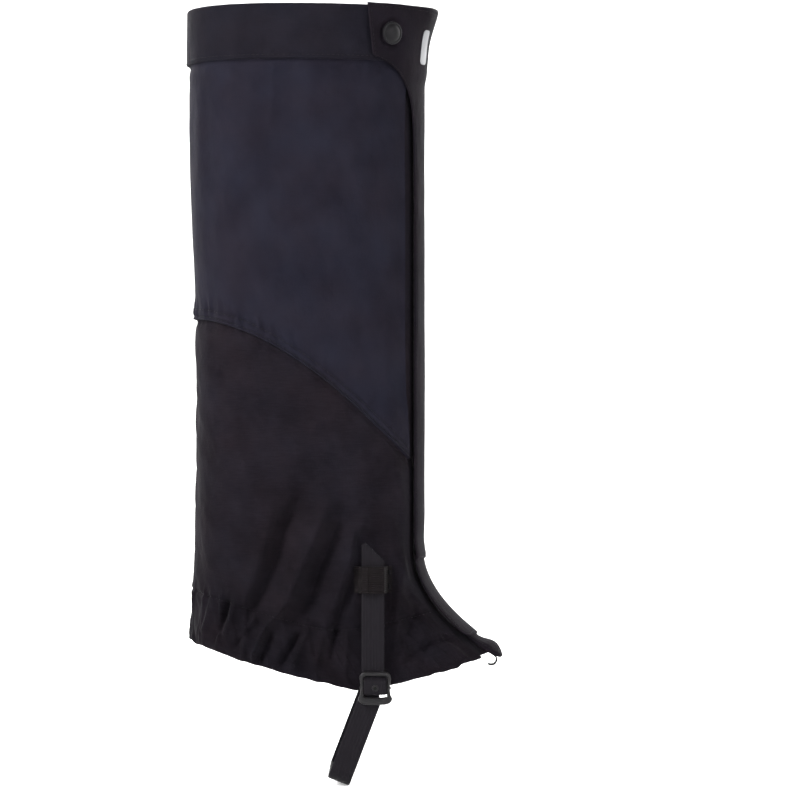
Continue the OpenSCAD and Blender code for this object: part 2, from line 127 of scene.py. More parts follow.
def make_lights():
    area_light("key", (-1.5, -1.35, 1.7), 0.8, 102)
    area_light("fill", (1.6, -1.6, 1.1), 1.0, 13)
    area_light("front_far", (1.3, 1.5, 1.2), 1.0, 50)
    area_light("rear_far", (-1.1, 1.6, 1.2), 1.0, 38)
    world = bpy.data.worlds.new("studio")
    bpy.context.scene.world = world
    world.use_nodes = True
    background = world.node_tree.nodes["Background"]
    background.inputs["Color"].default_value = (1, 1, 1, 1)
    background.inputs["Strength"].default_value = 0.48
    bpy.context.scene.view_settings.view_transform = "Standard"


def make_stage():
    """Floor that curves up into a backdrop on every side, so each view has a pale ground."""
    rings = [(0.0, 0.0), (1.2, 0.0), (2.2, 0.0), (2.9, 0.12), (3.4, 0.5), (3.6, 1.2), (3.65, 3.0)]
    sides = 48
    verts = [(r * math.cos(2 * math.pi * k / sides), r * math.sin(2 * math.pi * k / sides), FLOOR_Z * MM + h)
             for r, h in rings[1:] for k in range(sides)]
    verts.append((0, 0, FLOOR_Z * MM))
    faces = [(len(verts) - 1, k, (k + 1) % sides) for k in range(sides)]
    for ring in range(len(rings) - 2):
        for k in range(sides):
            a, b = ring * sides + k, ring * sides + (k + 1) % sides
            faces.append((a, a + sides, b + sides, b))
    floor = new_mesh("floor", verts, faces)
    paper = plain_material("floor_paper", (0.90, 0.90, 0.90), 0.9)
    shader = paper.node_tree.nodes["Principled BSDF"]
    shader.inputs["Emission Color"].default_value = (1, 1, 1, 1)
    shader.inputs["Emission Strength"].default_value = 0.3
    floor.data.materials.append(paper)


# ---------------------------------------------------------------- node helpers for materials
class Nodes:
    """Short calls that add shader nodes and link them."""

    def __init__(self, name):
        self.material = bpy.data.materials.new(name)
        self.material.use_nodes = True
        self.tree = self.material.node_tree
        self.shader = self.tree.nodes["Principled BSDF"]

    def add(self, kind, **settings):
        node = self.tree.nodes.new(kind)
        for key, value in settings.items():
            setattr(node, key, value)
        return node

    def link(self, out, into):
        self.tree.links.new(out, into)

    def feed(self, value, socket):
        """Sets a socket to a number, or links an output to it."""
        if isinstance(value, (int, float)):
            socket.default_value = value
        else:
            self.link(value, socket)

    def math(self, operation, a, b=0.0, clamp=False):
        node = self.add("ShaderNodeMath", operation=operation, use_clamp=clamp)
        for socket, value in zip(node.inputs, (a, b)):
            self.feed(value, socket)
        return node.outputs[0]

    def place(self, source):
        """Place on the surface in millimetres: along the cloth, or in the row frame."""
        if source == "cloth":
            return self.add("ShaderNodeAttribute", attribute_name="cloth_mm").outputs["Vector"]
        scale = self.add("ShaderNodeVectorMath", operation="SCALE")
        self.link(self.add("ShaderNodeTexCoord").outputs["Object"], scale.inputs[0])
        scale.inputs["Scale"].default_value = 1 / MM
        return scale.outputs[0]

    def stretched(self, place, along):
        node = self.add("ShaderNodeVectorMath", operation="MULTIPLY")
        self.link(place, node.inputs[0])
        node.inputs[1].default_value = along
        return node.outputs[0]

    def noise(self, place, scale, detail=2.0, rough=0.5):
        node = self.add("ShaderNodeTexNoise")
        self.link(place, node.inputs["Vector"])
        node.inputs["Scale"].default_value = scale
        node.inputs["Detail"].default_value = detail
        node.inputs["Roughness"].default_value = rough
        return node.outputs["Fac"]

    def wave(self, place, direction, scale, distortion=0.0):
        node = self.add("ShaderNodeTexWave", bands_direction=direction)
        self.link(place, node.inputs["Vector"])
        node.inputs["Scale"].default_value = scale
        node.inputs["Distortion"].default_value = distortion
        return node.outputs["Fac"]

    def cells(self, place, scale):
        node = self.add("ShaderNodeTexVoronoi")
        self.link(place, node.inputs["Vector"])
        node.inputs["Scale"].default_value = scale
        return node.outputs["Distance"]

    def ramp(self, factor, stops):
        node = self.add("ShaderNodeValToRGB")
        self.link(factor, node.inputs[0])
        points = node.color_ramp.elements
        while len(points) < len(stops):
            points.new(0.5)
        for point, (where, colour) in zip(points, stops):
            point.position = where
            point.color = (*colour, 1)
        return node.outputs[0]

    def spread(self, factor, low, high):
        node = self.add("ShaderNodeMapRange")
        self.link(factor, node.inputs["Value"])
        node.inputs["To Min"].default_value = low
        node.inputs["To Max"].default_value = high
        return node.outputs["Result"]

    def mix(self, factor, first, second, blend="MIX"):
        node = self.add("ShaderNodeMix", data_type="RGBA", blend_type=blend)
        self.feed(factor, node.inputs["Factor"])
        self.link(first, node.inputs["A"])
        self.link(second, node.inputs["B"])
        return node.outputs["Result"]

    def bump(self, height, depth_mm, strength=1.0, under=None):
        node = self.add("ShaderNodeBump")
        node.inputs["Distance"].default_value = depth_mm * MM
        node.inputs["Strength"].default_value = strength
        self.link(height, node.inputs["Height"])
        if under is not None:
            self.link(under, node.inputs["Normal"])
        return node.outputs["Normal"]

    def finish(self, **constants):
        for key, value in constants.items():
            self.shader.inputs[key.replace("_", " ")].default_value = value
        return self.material

    def surface(self, colour, rough, normal, **constants):
        """Links colour, roughness and normal, and sets the shader's constants."""
        for key, out in (("Base Color", colour), ("Roughness", rough), ("Normal", normal)):
            self.link(out, self.shader.inputs[key])
        return self.finish(**constants)


def plain_material(name, colour, rough):
    n = Nodes(name)
    tint = n.noise(n.place("object"), 0.004)
    n.link(n.ramp(tint, [(0.3, [c * 0.985 for c in colour]), (0.7, colour)]), n.shader.inputs["Base Color"])
    return n.finish(Roughness=rough)


SHADE_MM = 330.0  # height over which the painted shade on the cloth's lower part fades out
WAVE_MM = 0.314   # period of the wave texture at scale 1


def cloth_material(name, dark, light, weave_mm=0.55, streak=0.35, rough=(0.72, 0.86), low_shade=1.0):
    """Woven cloth: warp and weft threads, weft streaks, slow shade changes and a little lint, with painted
    shade on its lower part where low_shade is under 1.
    """
    n = Nodes(name)
    place = n.place("cloth")
    warp = n.wave(place, "X", WAVE_MM / weave_mm)
    weft = n.wave(place, "Y", WAVE_MM / weave_mm)
    threads = n.math("MULTIPLY", warp, weft)
    streaks = n.noise(n.stretched(place, (0.12, 1.3, 1.3)), 0.8, 3.0, 0.65)
    mottle = n.noise(place, 0.035, 2.0)
    lint = n.noise(place, 0.9, 2.0, 0.7)
    shade = n.math("ADD", n.math("MULTIPLY", streaks, streak), n.math("MULTIPLY", mottle, 1 - streak))
    shade = n.math("ADD", shade, n.math("MULTIPLY", n.math("SUBTRACT", lint, 0.5), 0.25))
    base = n.ramp(shade, [(0.34, dark), (0.66, light)])
    thread_tint = n.ramp(threads, [(0.0, (0.82,) * 3), (1.0, (1.12,) * 3)])
    drift = n.ramp(n.noise(place, 0.022, 3.0, 0.6), [(0.35, (1.07, 0.985, 0.96)), (0.65, (0.94, 1.0, 1.05))])
    # painted shade: the cloth darkens towards its lower part, to low_shade times its colour, fading out over
    # SHADE_MM
    level = n.add("ShaderNodeSeparateXYZ")
    n.link(place, level.inputs["Vector"])
    height = n.math("MULTIPLY", level.outputs["Y"], 1 / SHADE_MM)
    share = n.math("ADD", height, n.math("MULTIPLY", mottle, 0.25))
    painted_shade_below = n.ramp(share, [(0.42, (low_shade,) * 3), (0.85, (1.0,) * 3)])
    for amount, tint in ((0.8, thread_tint), (0.9, drift), (1.0, painted_shade_below)):
        base = n.mix(amount, base, tint, "MULTIPLY")
    relief = n.math("ADD", n.math("MULTIPLY", threads, 0.6), n.math("MULTIPLY", streaks, 0.5))
    crumple = n.bump(n.noise(n.stretched(place, (1.0, 0.7, 1.0)), 0.11, 3.0, 0.62), 1.5, 0.42)
    return n.surface(base, n.spread(streaks, *rough), n.bump(relief, 0.2, 0.7, crumple),
                     Sheen_Weight=0.01, Sheen_Roughness=0.45, Specular_IOR_Level=0.03)


def ribbed_material(name, dark, light, rib_mm, axis="X", source="cloth", rough=(0.45, 0.6), depth=0.18):
    """Webbing or elastic: ribs along or across the strip, with fine cross threads."""
    n = Nodes(name)
    place = n.place(source)
    ribs = n.wave(place, axis, WAVE_MM / rib_mm, 0.15)
    cross = n.wave(place, "Y" if axis == "X" else "X", WAVE_MM / 0.5)
    wear = n.noise(place, 0.12, 3.0, 0.6)
    fine = n.noise(place, 1.2, 2.0)
    shade = n.math("ADD", n.math("MULTIPLY", ribs, 0.35), n.math("MULTIPLY", wear, 0.65))
    height = n.math("ADD", ribs, n.math("MULTIPLY", cross, 0.25))
    tint = n.ramp(shade, [(0.2, dark), (0.8, light)])
    return n.surface(tint, n.spread(fine, *rough), n.bump(height, depth, 0.7),
                     Sheen_Weight=0.02, Sheen_Roughness=0.4, Specular_IOR_Level=0.05)


def pile_material(name, colour, light, stiff):
    """Hook or loop tape: a dense field of tiny hooks or loops."""
    n = Nodes(name)
    place = n.place("cloth")
    cells = n.cells(place, 0.9 if stiff else 1.6)
    return n.surface(n.ramp(cells, [(0.0, light), (0.7, colour)]), n.spread(n.noise(place, 2.0), 0.6, 0.95),
                     n.bump(cells, -0.5, 0.9), Sheen_Weight=0.05, Specular_IOR_Level=0.15)


def metal_material(name, base, worn, metallic, rough):
    """Cast or pressed metal with brushed grain, and a paler rubbed edge."""
    n = Nodes(name)
    place = n.place("object")
    grain = n.noise(n.stretched(place, (0.3, 2.0, 2.0)), 1.0, 4.0, 0.65)
    spots = n.noise(place, 0.35, 3.0, 0.6)
    edges = n.add("ShaderNodeNewGeometry").outputs["Pointiness"]
    rubbed = n.spread(edges, 0.0, 0.9)
    rubbed.node.inputs["From Min"].default_value = 0.52
    rubbed.node.inputs["From Max"].default_value = 0.68
    amount = n.math("MULTIPLY", rubbed, n.spread(spots, 0.3, 1.0), clamp=True)
    body = n.ramp(spots, [(0.3, [c * 0.8 for c in base]), (0.7, base)])
    pale = n.ramp(grain, [(0.3, [c * 0.8 for c in worn]), (0.7, worn)])
    return n.surface(n.mix(amount, body, pale), n.spread(grain, *rough), n.bump(grain, 0.04, 0.5),
                     Metallic=metallic, Specular_IOR_Level=0.5 * metallic + 0.1)


def thread_material(name, dark, light):
    """Sewing thread: a fine twist."""
    n = Nodes(name)
    place = n.place("object")
    twist = n.wave(place, "DIAGONAL", 1.6, 0.5)
    return n.surface(n.ramp(twist, [(0.1, dark), (0.9, light)]), n.spread(n.noise(place, 1.5), 0.5, 0.75),
                     n.bump(twist, 0.08), Sheen_Weight=0.02, Specular_IOR_Level=0.06)


def reflective_material(name):
    """Retroreflective film: a fine bead grain under a clear face, with scuffs."""
    n = Nodes(name)
    place = n.place("cloth")
    beads = n.cells(place, 3.0)
    scuff = n.noise(n.stretched(place, (0.6, 0.15, 1)), 1.0, 4.0, 0.7)
    shade = n.math("ADD", n.math("MULTIPLY", beads, 0.3), n.math("MULTIPLY", scuff, 0.7))
    tint = n.ramp(shade, [(0.25, (0.12, 0.122, 0.128)), (0.7, (0.19, 0.192, 0.20))])
    return n.surface(tint, n.spread(scuff, 0.25, 0.5), n.bump(beads, 0.05, 0.4), Metallic=0.2)


def make_materials():
    return {
        "navy": cloth_material("navy_cloth", (0.0065, 0.0059, 0.0099), (0.0099, 0.0093, 0.0147), streak=0.25),
        # the black cloth carries painted shade towards the ankle, through low_shade
        "black": cloth_material("black_cloth", (0.0037, 0.0029, 0.0044), (0.0090, 0.0073, 0.0100),
                                weave_mm=0.8, streak=0.55, rough=(0.78, 0.92), low_shade=0.68),
        "collar": cloth_material("collar_cloth", (0.0050, 0.0045, 0.0069), (0.0077, 0.0071, 0.0105),
                                 streak=0.3),
        "flap": cloth_material("flap_cloth", (0.0044, 0.0034, 0.0051), (0.0074, 0.0057, 0.0084),
                               weave_mm=0.7, streak=0.4),
        "strap": ribbed_material("strap_webbing", (0.0040, 0.0033, 0.0046), (0.0060, 0.0051, 0.0067), 1.1,
                                 rough=(0.5, 0.65), depth=0.08),
        "webbing": ribbed_material("keeper_webbing", (0.0026, 0.0018, 0.0021), (0.0050, 0.0038, 0.0042), 1.2,
                                   axis="Y", rough=(0.6, 0.8)),
        "elastic": ribbed_material("elastic_knit", (0.010, 0.010, 0.0108), (0.024, 0.024, 0.0255), 1.6,
                                   source="object", axis="Z", rough=(0.7, 0.9)),
        "loop": pile_material("loop_pile", (0.0050, 0.0048, 0.0056), (0.013, 0.0125, 0.014), False),
        "hook": pile_material("hook_pile", (0.0050, 0.0048, 0.0056), (0.018, 0.0175, 0.019), True),
        "tape": ribbed_material("seam_tape", (0.0090, 0.0090, 0.0100), (0.016, 0.016, 0.0175), 0.8,
                                rough=(0.3, 0.45)),
        "thread": thread_material("sewing_thread", (0.0022, 0.0019, 0.0026), (0.0060, 0.0053, 0.0070)),
        "dark_metal": metal_material("dark_metal", (0.0052, 0.0047, 0.0056), (0.034, 0.032, 0.032),
                                     0.2, (0.28, 0.44)),
        "plated": metal_material("plated_metal", (0.17, 0.17, 0.18), (0.40, 0.40, 0.41), 1.0, (0.24, 0.42)),
        "hook_metal": metal_material("hook_metal", (0.0018, 0.0017, 0.0020), (0.0045, 0.0043, 0.0047),
                                     0.0, (0.40, 0.55)),
        "snap": metal_material("snap_metal", (0.0030, 0.0027, 0.0036), (0.0105, 0.0100, 0.0118),
                               0.05, (0.30, 0.45)),
        "reflective": reflective_material("reflective_film"),
    }


# ---------------------------------------------------------------- meshes
SMOOTH_ANGLE = math.radians(38)


def new_mesh(name, verts, faces):
    name += "_visual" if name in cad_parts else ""
    mesh = bpy.data.meshes.new(name)
    mesh.from_pydata([tuple(map(float, v)) for v in verts], [], [tuple(map(int, f)) for f in faces])
    mesh.validate()
    mesh.update()
    mesh.shade_smooth()
    mesh.set_sharp_from_angle(angle=SMOOTH_ANGLE)
    piece = bpy.data.objects.new(name, mesh)
    bpy.context.scene.collection.objects.link(piece)
    return piece


def mark_cloth(piece, coords_mm):
    """Keeps each point's place on the flat cloth, in millimetres, for the weave."""
    attribute = piece.data.attributes.new("cloth_mm", "FLOAT_VECTOR", "POINT")
    attribute.data.foreach_set("vector", np.asarray(coords_mm, np.float32).ravel())


def shell(name, outer, inner, coords_mm, material):
    """Closed sheet between two grids of points (rows by columns, metres)."""
    rows, cols = outer.shape[:2]
    layer = rows * cols
    index = np.arange(layer).reshape(rows, cols)
    a, b, c, d = index[:-1, :-1], index[:-1, 1:], index[1:, 1:], index[1:, :-1]
    out_faces = np.stack([a, b, c, d], -1).reshape(-1, 4)
    in_faces = np.stack([a, d, c, b], -1).reshape(-1, 4) + layer
    ring = np.concatenate([index[0, :], index[1:, -1], index[-1, -2::-1], index[-2:0:-1, 0]])
    after = np.roll(ring, -1)
    side = np.stack([ring, ring + layer, after + layer, after], -1)
    verts = np.concatenate([outer.reshape(-1, 3), inner.reshape(-1, 3)])
    piece = new_mesh(name, verts, np.concatenate([out_faces, in_faces, side]))
    mark_cloth(piece, np.concatenate([coords_mm.reshape(-1, 3)] * 2))
    piece.data.materials.append(material)
    return piece


def unit(vectors):
    return vectors / np.linalg.norm(vectors, axis=-1, keepdims=True)


def run_along(path):
    """Distance from a path's start to each of its points."""
    return np.concatenate([[0], np.cumsum(np.linalg.norm(np.diff(path, axis=0), axis=1))])


def tube_faces(rings, sides, first=0):
    """Faces of a run of rings of points, closed at both ends."""
    faces = []
    for ring in range(rings - 1):
        for k in range(sides):
            a, b = first + ring * sides + k, first + ring * sides + (k + 1) % sides
            faces.append((a, b, b + sides, a + sides))
    faces.append(tuple(first + k for k in range(sides - 1, -1, -1)))
    faces.append(tuple(first + (rings - 1) * sides + k for k in range(sides)))
    return faces


def ribbon(name, path, across, width, section, material):
    """Strip swept along path (metres). across is the width's direction, section a closed outline of
    (share of the half width, height in mm) points, run round the strip."""
    path = np.asarray(path, float)
    across = unit(np.asarray(across, float))
    normal = unit(np.cross(unit(np.gradient(path, axis=0)), across))
    verts, coords = [], []
    for p, normal_here, at in zip(path, normal, run_along(path) / MM):
        for share, height in section:
            verts.append(p + across * share * width / 2 + normal_here * height * MM)
            coords.append((share * width / 2 / MM, at, height))
    piece = new_mesh(name, verts, tube_faces(len(path), len(section)))
    mark_cloth(piece, coords)
    piece.data.materials.append(material)
    return piece


def strap_section(thick_mm, ribs=5, rib_mm=0.12):
    """Outline of a flat strap with rounded selvedges and shallow ribs on both faces."""
    def face(side):
        shares = np.linspace(-0.92, 0.92, 4 * ribs + 1)
        ripple = rib_mm * (0.5 - 0.5 * np.cos(2 * np.pi * ribs * (shares + 0.92) / 1.84))
        return [(s, side * (thick_mm / 2 - rib_mm + r)) for s, r in zip(shares, ripple)]
    top, bottom = face(1), face(-1)[::-1]
    return top + [(1.0, 0.25 * thick_mm), (1.0, -0.25 * thick_mm)] + bottom + \
        [(-1.0, -0.25 * thick_mm), (-1.0, 0.25 * thick_mm)]


def lathe(name, profile, centre, axis, material, sides=48):
    """Round piece from (radius, height) points in mm, turned about axis through centre (metres)."""
    turn = Vector(axis).normalized().to_track_quat("Z", "Y").to_matrix()
    verts = []
    for radius, height in profile:
        for k in range(sides):
            angle = 2 * math.pi * k / sides
            local = Vector((radius * math.cos(angle), radius * math.sin(angle), height)) * MM
            verts.append(turn @ local + Vector(centre))
    piece = new_mesh(name, verts, tube_faces(len(profile), sides))
    piece.data.materials.append(material)
    return piece


STITCH_SHAPE = [(-0.5, 0.35), (-0.3, 0.9), (0.0, 1.0), (0.3, 0.9), (0.5, 0.35)]  # share of length, of radius
STITCH_SIDES = 5


def stitches(name, path, normals, material, length=2.4, gap=0.9, radius=0.24):
    """A row of thread stitches along path (metres), each a short bead bedded in the cloth."""
    path, normals = np.asarray(path, float), np.asarray(normals, float)
    run = run_along(path) / MM
    verts, faces = [], []
    at = gap
    while at + length < run[-1]:
        ends = [np.array([np.interp(t, run, path[:, k]) for k in range(3)]) for t in (at, at + length)]
        up = np.array([np.interp(at + length / 2, run, normals[:, k]) for k in range(3)])
        along = ends[1] - ends[0]
        side = unit(np.cross(up, along))
        up = unit(up)
        faces += tube_faces(len(STITCH_SHAPE), STITCH_SIDES, len(verts))
        for share, swell in STITCH_SHAPE:
            centre = (ends[0] + ends[1]) / 2 + along * share
            for k in range(STITCH_SIDES):
                angle = 2 * math.pi * k / STITCH_SIDES
                verts.append(centre + (side * math.cos(angle) + up * math.sin(angle)) * radius * swell * MM)
        at += length + gap
    piece = new_mesh(name, verts, faces)
    piece.data.materials.append(material)
    return piece


# ---------------------------------------------------------------- the sleeve's surface, in millimetres
def ease(t):
    t = np.clip(t, 0, 1)
    return t * t * (3 - 2 * t)


def foot_share(s):
    return np.maximum(0, (BEND_Z - s) / (BEND_Z - HEM_Z))


def hem_height(x):
    return HEM_Z + 0.3 * (np.sqrt((x - 36) ** 2 + 20 ** 2) - 20)


def skin(a_deg, s):
    """Inner face of the sleeve at angle a round the leg and height coordinate s."""
    a = np.radians(a_deg)
    foot = foot_share(s)
    up = np.clip((s - BEND_Z) / (TOP_Z - BEND_Z), 0, 1)
    rear = REAR_X - REAR_OUT * np.clip((s - 290) / 180, 0, 1) - REAR_OUT * foot ** 2
    front = SHIN_X + 4.5 * np.clip((s - 455) / (TOP_Z - 455), 0, 1) ** 1.5 + (FOOT_X - SHIN_X) * foot ** 2
    half_w = ANKLE_B + (CALF_B - ANKLE_B) * up
    corner = 0.1 - 0.07 * ease(up)
    egg = 0.08 + 0.17 * ease(foot)
    x = (rear + front) / 2 + (front - rear) / 2 * np.cos(a)
    y = half_w * (np.sin(a) + corner * np.sin(3 * a)) * (1 - egg * np.cos(a))
    hem_rear, hem_front = REAR_X - REAR_OUT, FOOT_X
    hem_x = (hem_rear + hem_front) / 2 + (hem_front - hem_rear) / 2 * np.cos(a)
    z = np.where(s >= BEND_Z, s, BEND_Z - foot * (BEND_Z - hem_height(hem_x)))
    return np.stack([x, y, z], -1)


def outward(a_deg, s, step=0.5):
    round_leg = skin(a_deg + step, s) - skin(a_deg - step, s)
    up_leg = skin(a_deg, s + step) - skin(a_deg, s - step)
    return unit(np.cross(round_leg, up_leg))


NOISE_TABLES = {}


def ripple(u, v, seed):
    """Smooth noise from -1 to 1 over (u, v), the same on every run."""
    if seed not in NOISE_TABLES:
        NOISE_TABLES[seed] = np.random.RandomState(seed).uniform(-1, 1, (64, 64))
    table = NOISE_TABLES[seed]
    iu, iv = np.floor(u).astype(int), np.floor(v).astype(int)
    fu, fv = ease(u - iu), ease(v - iv)

    def at(i, j):
        return table[(iu + i) % 64, (iv + j) % 64]
    low = at(0, 0) * (1 - fu) + at(1, 0) * fu
    high = at(0, 1) * (1 - fu) + at(1, 1) * fu
    return low * (1 - fv) + high * fv


FOLD_POWER = 1.6  # 2 gives a round fold and 1 a sharp crease


def fold(x, z, route, height, width):
    """Raised (or, with a negative height, sunk) fold along a route of (x, z) points in the side view."""
    route = np.asarray(route, float)
    seg = np.diff(route, axis=0)
    lengths = np.linalg.norm(seg, axis=1)
    total, done = lengths.sum(), 0.0
    best = np.full(x.shape, 1e9)
    where = np.zeros(x.shape)
    for p, d, length in zip(route[:-1], seg, lengths):
        t = np.clip(((x - p[0]) * d[0] + (z - p[1]) * d[1]) / length ** 2, 0, 1)
        away = np.hypot(x - p[0] - t * d[0], z - p[1] - t * d[1])
        nearer = away < best
        best = np.where(nearer, away, best)
        where = np.where(nearer, (done + t * length) / total, where)
        done += length
    taper = ease(np.minimum(where, 1 - where) / 0.22)
    return height * (0.25 + 0.75 * taper) * np.exp(-(best / width) ** FOLD_POWER)


# Folds of the lower panel on the outer side, as (route in x and z, height, width), listed to follow how
# the cloth hangs
BROAD_FOLDS = [
    ([(-2, 189), (-15, 165), (-22, 143), (-32, 121), (-43, 103)], -3.6, 6.5),
    ([(14, 182), (-1, 149), (-12, 122), (-22, 107)], 3.0, 7.0),
    ([(24, 176), (8, 139), (3, 120), (-8, 106)], -3.4, 6.5),
    ([(-24, 172), (-36, 129), (-44, 108)], 1.8, 8.0),
    ([(38, 176), (24, 140), (17, 112)], 2.0, 6.0),
    ([(33, 138), (22, 112), (17, 86)], -2.2, 4.0),
    ([(62, 150), (57, 118), (60, 84)], 1.4, 6.0),
    ([(72, 112), (66, 96), (58, 80)], -1.4, 4.5),
    ([(98, 92), (80, 88), (60, 76)], -1.6, 4.0),
]
HEM_FOLDS = [
    ([(-33, 108), (-46, 92)], 2.6, 2.2),
    ([(-37, 104), (-49, 86)], -2.2, 2.6),
    ([(-15, 114), (-27, 101)], 2.4, 2.6),
    ([(-27, 102), (-38, 78)], 2.8, 2.0),
    ([(-22, 100), (-33, 76)], -2.4, 3.0),
    ([(-3, 99), (-19, 73)], -3.0, 3.4),
    ([(-1, 98), (-13, 71)], 2.4, 2.4),
    ([(-51, 120), (-60, 92)], -2.4, 2.4),
    ([(-47, 118), (-55, 92)], 1.6, 2.6),
    ([(-62, 116), (-68, 94)], 1.4, 2.6),
    ([(18, 101), (15, 76)], -1.8, 2.2),
    ([(10, 98), (4, 70)], 1.6, 2.8),
    ([(26, 97), (24, 70)], 1.2, 2.6),
    ([(66, 97), (60, 74)], 1.0, 2.6),
    ([(82, 92), (74, 76)], -1.0, 2.6),
]
UPPER_FOLDS = [
    ([(-24, 470), (-22, 448), (-25, 425)], 0.9, 3.0),
    ([(-58, 450), (-52, 400), (-56, 350)], 0.7, 7.0),
    ([(40, 440), (48, 380), (44, 320)], -0.8, 8.0),
]
PLEATS = 54
PLEAT_SEED = 11
STRAP_ZONE_X = (27, 58)


def stitch_s(x):
    """Height coordinate of the hem casing's stitch line, higher at the heel."""
    return 98 + 13 * np.clip((22 - x) / 100, 0, 1) ** 1.5


def side_folds(x, z, folds):
    return sum(fold(x, z, route, height, 0.85 * width) for route, height, width in folds)


def gathers(a, s):
    """Pleats that the hem elastic pulls up, random in place but the same on every run."""
    rng = np.random.RandomState(PLEAT_SEED)
    relief = np.zeros(a.shape)
    for k in range(PLEATS):
        where = PANEL_MED_A + 4 + (PANEL_LAT_A - PANEL_MED_A - 8) * (k + rng.uniform(0.15, 0.85)) / PLEATS
        lean, wide = rng.uniform(-0.14, 0.14), rng.uniform(1.5, 2.8)
        height, reach = rng.uniform(0.5, 2.1), rng.uniform(7, 26)
        away = (a - where - lean * (s - HEM_Z)) * 1.5
        up = ease((stitch_top(a) + reach - s) / reach)
        relief += height * up * np.exp(-(away / wide) ** 2)
    return 1.1 * relief - 1.4 * ease((110 - s) / 20)


def stitch_top(a):
    return stitch_s(skin(a, np.full(np.shape(a), 99.0))[..., 0])


def front_share(a):
    """1 behind the front closure and 0 away from it."""
    return ease((np.cos(np.radians(a)) - 0.83) / 0.07)


def lower_relief(a, s):
    p = skin(a, s)
    x, z = p[..., 0], p[..., 2]
    lateral = ease(-p[..., 1] / 18)
    medial = ease(p[..., 1] / 18)
    u, v = a * ROUND_MM, s
    relief = lateral * (2.2 * side_folds(x, z, BROAD_FOLDS) + 1.7 * side_folds(x, z, HEM_FOLDS))
    inner_folds = 1.5 * side_folds(x + 9, z + 3, BROAD_FOLDS) + 1.2 * side_folds(x - 7, z - 2, HEM_FOLDS)
    relief += medial * inner_folds
    pulled = ease((150 - s) / 70)
    rear = ease((np.cos(np.radians(a - REAR_A)) - 0.2) / 0.6)
    relief += gathers(a, s) * ease((128 - s) / 26) * (0.6 + 0.4 * rear)
    relief += 1.2 * ripple(u / 38 + s / 60, v / 55, 3) + 0.7 * ripple(u / 15 + s / 26, v / 24, 4)
    relief += 0.28 * ripple(u / 6.5 + s / 14, v / 8, 25)
    relief += pulled * 0.8 * ripple(u / 7 + s / 18, v / 16, 5)
    line = stitch_top(a)
    relief -= 1.1 * np.exp(-((s - line) / 1.7) ** 2) * ease((s - HEM_Z) / 8)
    relief += 1.6 * rear * np.exp(-((s - 74) / 14) ** 2)
    calm = 1 - np.exp(-((s - HEM_Z) / 2.0) ** 2) * 0.5
    strap = lateral * ease((x - STRAP_ZONE_X[0]) / 6) * ease((STRAP_ZONE_X[1] - x) / 6)
    strap = strap * ease((168 - z) / 10)
    relief = np.where(relief > 0, relief * (1 - 0.95 * strap), relief)
    front = front_share(a)
    seam = ease((s - seam_s(a) + 22) / 20)
    relief = relief * calm * (1 - 0.85 * front) * (1 - 0.8 * seam)
    relief = relief - 1.3 * np.exp(-((s - seam_s(a) + 2) / 3) ** 2)
    return relief + seam * upper_relief(a, s) * (1 - 0.85 * front)


def seam_s(a_deg):
    share = np.clip((1 + np.cos(np.radians(a_deg))) / (1 + math.cos(math.radians(25))), 0, 1)
    return SEAM_REAR_Z - (SEAM_REAR_Z - SEAM_FRONT_Z) * share ** 1.7


def upper_relief(a, s):
    """Soft upright creases, with small puckers above the panel seam."""
    u, v = a * ROUND_MM, s
    relief = 0.7 * ripple(u / 30, v / 150, 6) + 0.35 * ripple(u / 12, v / 60, 7)
    relief += 0.8 * ripple(u / 55, v / 80, 8)
    relief += 0.16 * ripple(u / 7 + s / 20, v / 11, 26)
    above = s - seam_s(a)
    pucker = np.exp(-((above - 5) / 9) ** 2)
    x = skin(a, s)[..., 0]
    rear_side = 0.35 + 0.65 * ease((30 - x) / 60)
    relief += 1.3 * pucker * rear_side * ripple(u / 4.2 + s / 30, v / 13, 9)
    for route, height, width in UPPER_FOLDS:
        relief += fold(x, s, route, height, width)
    below_collar = np.exp(-((COLLAR_LOW - s) / 16) ** 2)
    relief += 0.6 * below_collar * ripple(u / 6, v / 30, 10)
    relief -= 1.2 * np.exp(-((COLLAR_LOW - 1.5 - s) / 3) ** 2)
    return relief * (1 - 0.8 * front_share(a))


def collar_relief(a, s):
    u, v = a * ROUND_MM, s
    near_seam = np.exp(-((s - COLLAR_LOW) / 9) ** 2)
    relief = 0.35 * ripple(u / 26, v / 60, 12) + 0.22 * ripple(u / 9, v / 18, 13)
    relief += 0.45 * near_seam * ripple(u / 4.5, v / 14, 27)
    return relief - 0.5 * np.exp(-((s - COLLAR_LOW) / 3) ** 2)


def sleeve_relief(a, s):
    """Relief that every sleeve layer shares at one place."""
    t = ease((s - (COLLAR_LOW - 3)) / 6)
    low = np.where(s < seam_s(a), lower_relief(a, s), upper_relief(a, s))
    return low * (1 - t) + collar_relief(a, s) * t


def hem_wave(a, s):
    """How far the gathered hem edge rises and falls, calm at the front."""
    u = a * ROUND_MM
    wave = 1.7 * ripple(u / 12, 0 * u + 0.5, 21) + 0.9 * ripple(u / 5, 0 * u + 0.5, 22)
    calm_front = 1 - ease((np.cos(np.radians(a)) - 0.7) / 0.2)
    return wave * calm_front * ease((82 - s) / 20)


def laid_flat(a, s, mm_per_degree, zero_a=0.0):
    """Places on the flat cloth for its weave, in millimetres."""
    return np.stack([(a - zero_a) * mm_per_degree, s, np.zeros(a.shape)], -1)


def layer(name, a, s, off_in, off_out, material, relief=sleeve_relief):
    """Closed cloth layer over a grid of angles and heights."""
    lift = relief(a, s)
    base, n = skin(a, s + hem_wave(a, s)), outward(a, s)
    outer = (base + n * (off_out + lift)[..., None]) * MM
    inner = (base + n * (off_in + lift)[..., None]) * MM
    return shell(name, outer, inner, laid_flat(a, s, PANEL_MM, REAR_A), material)


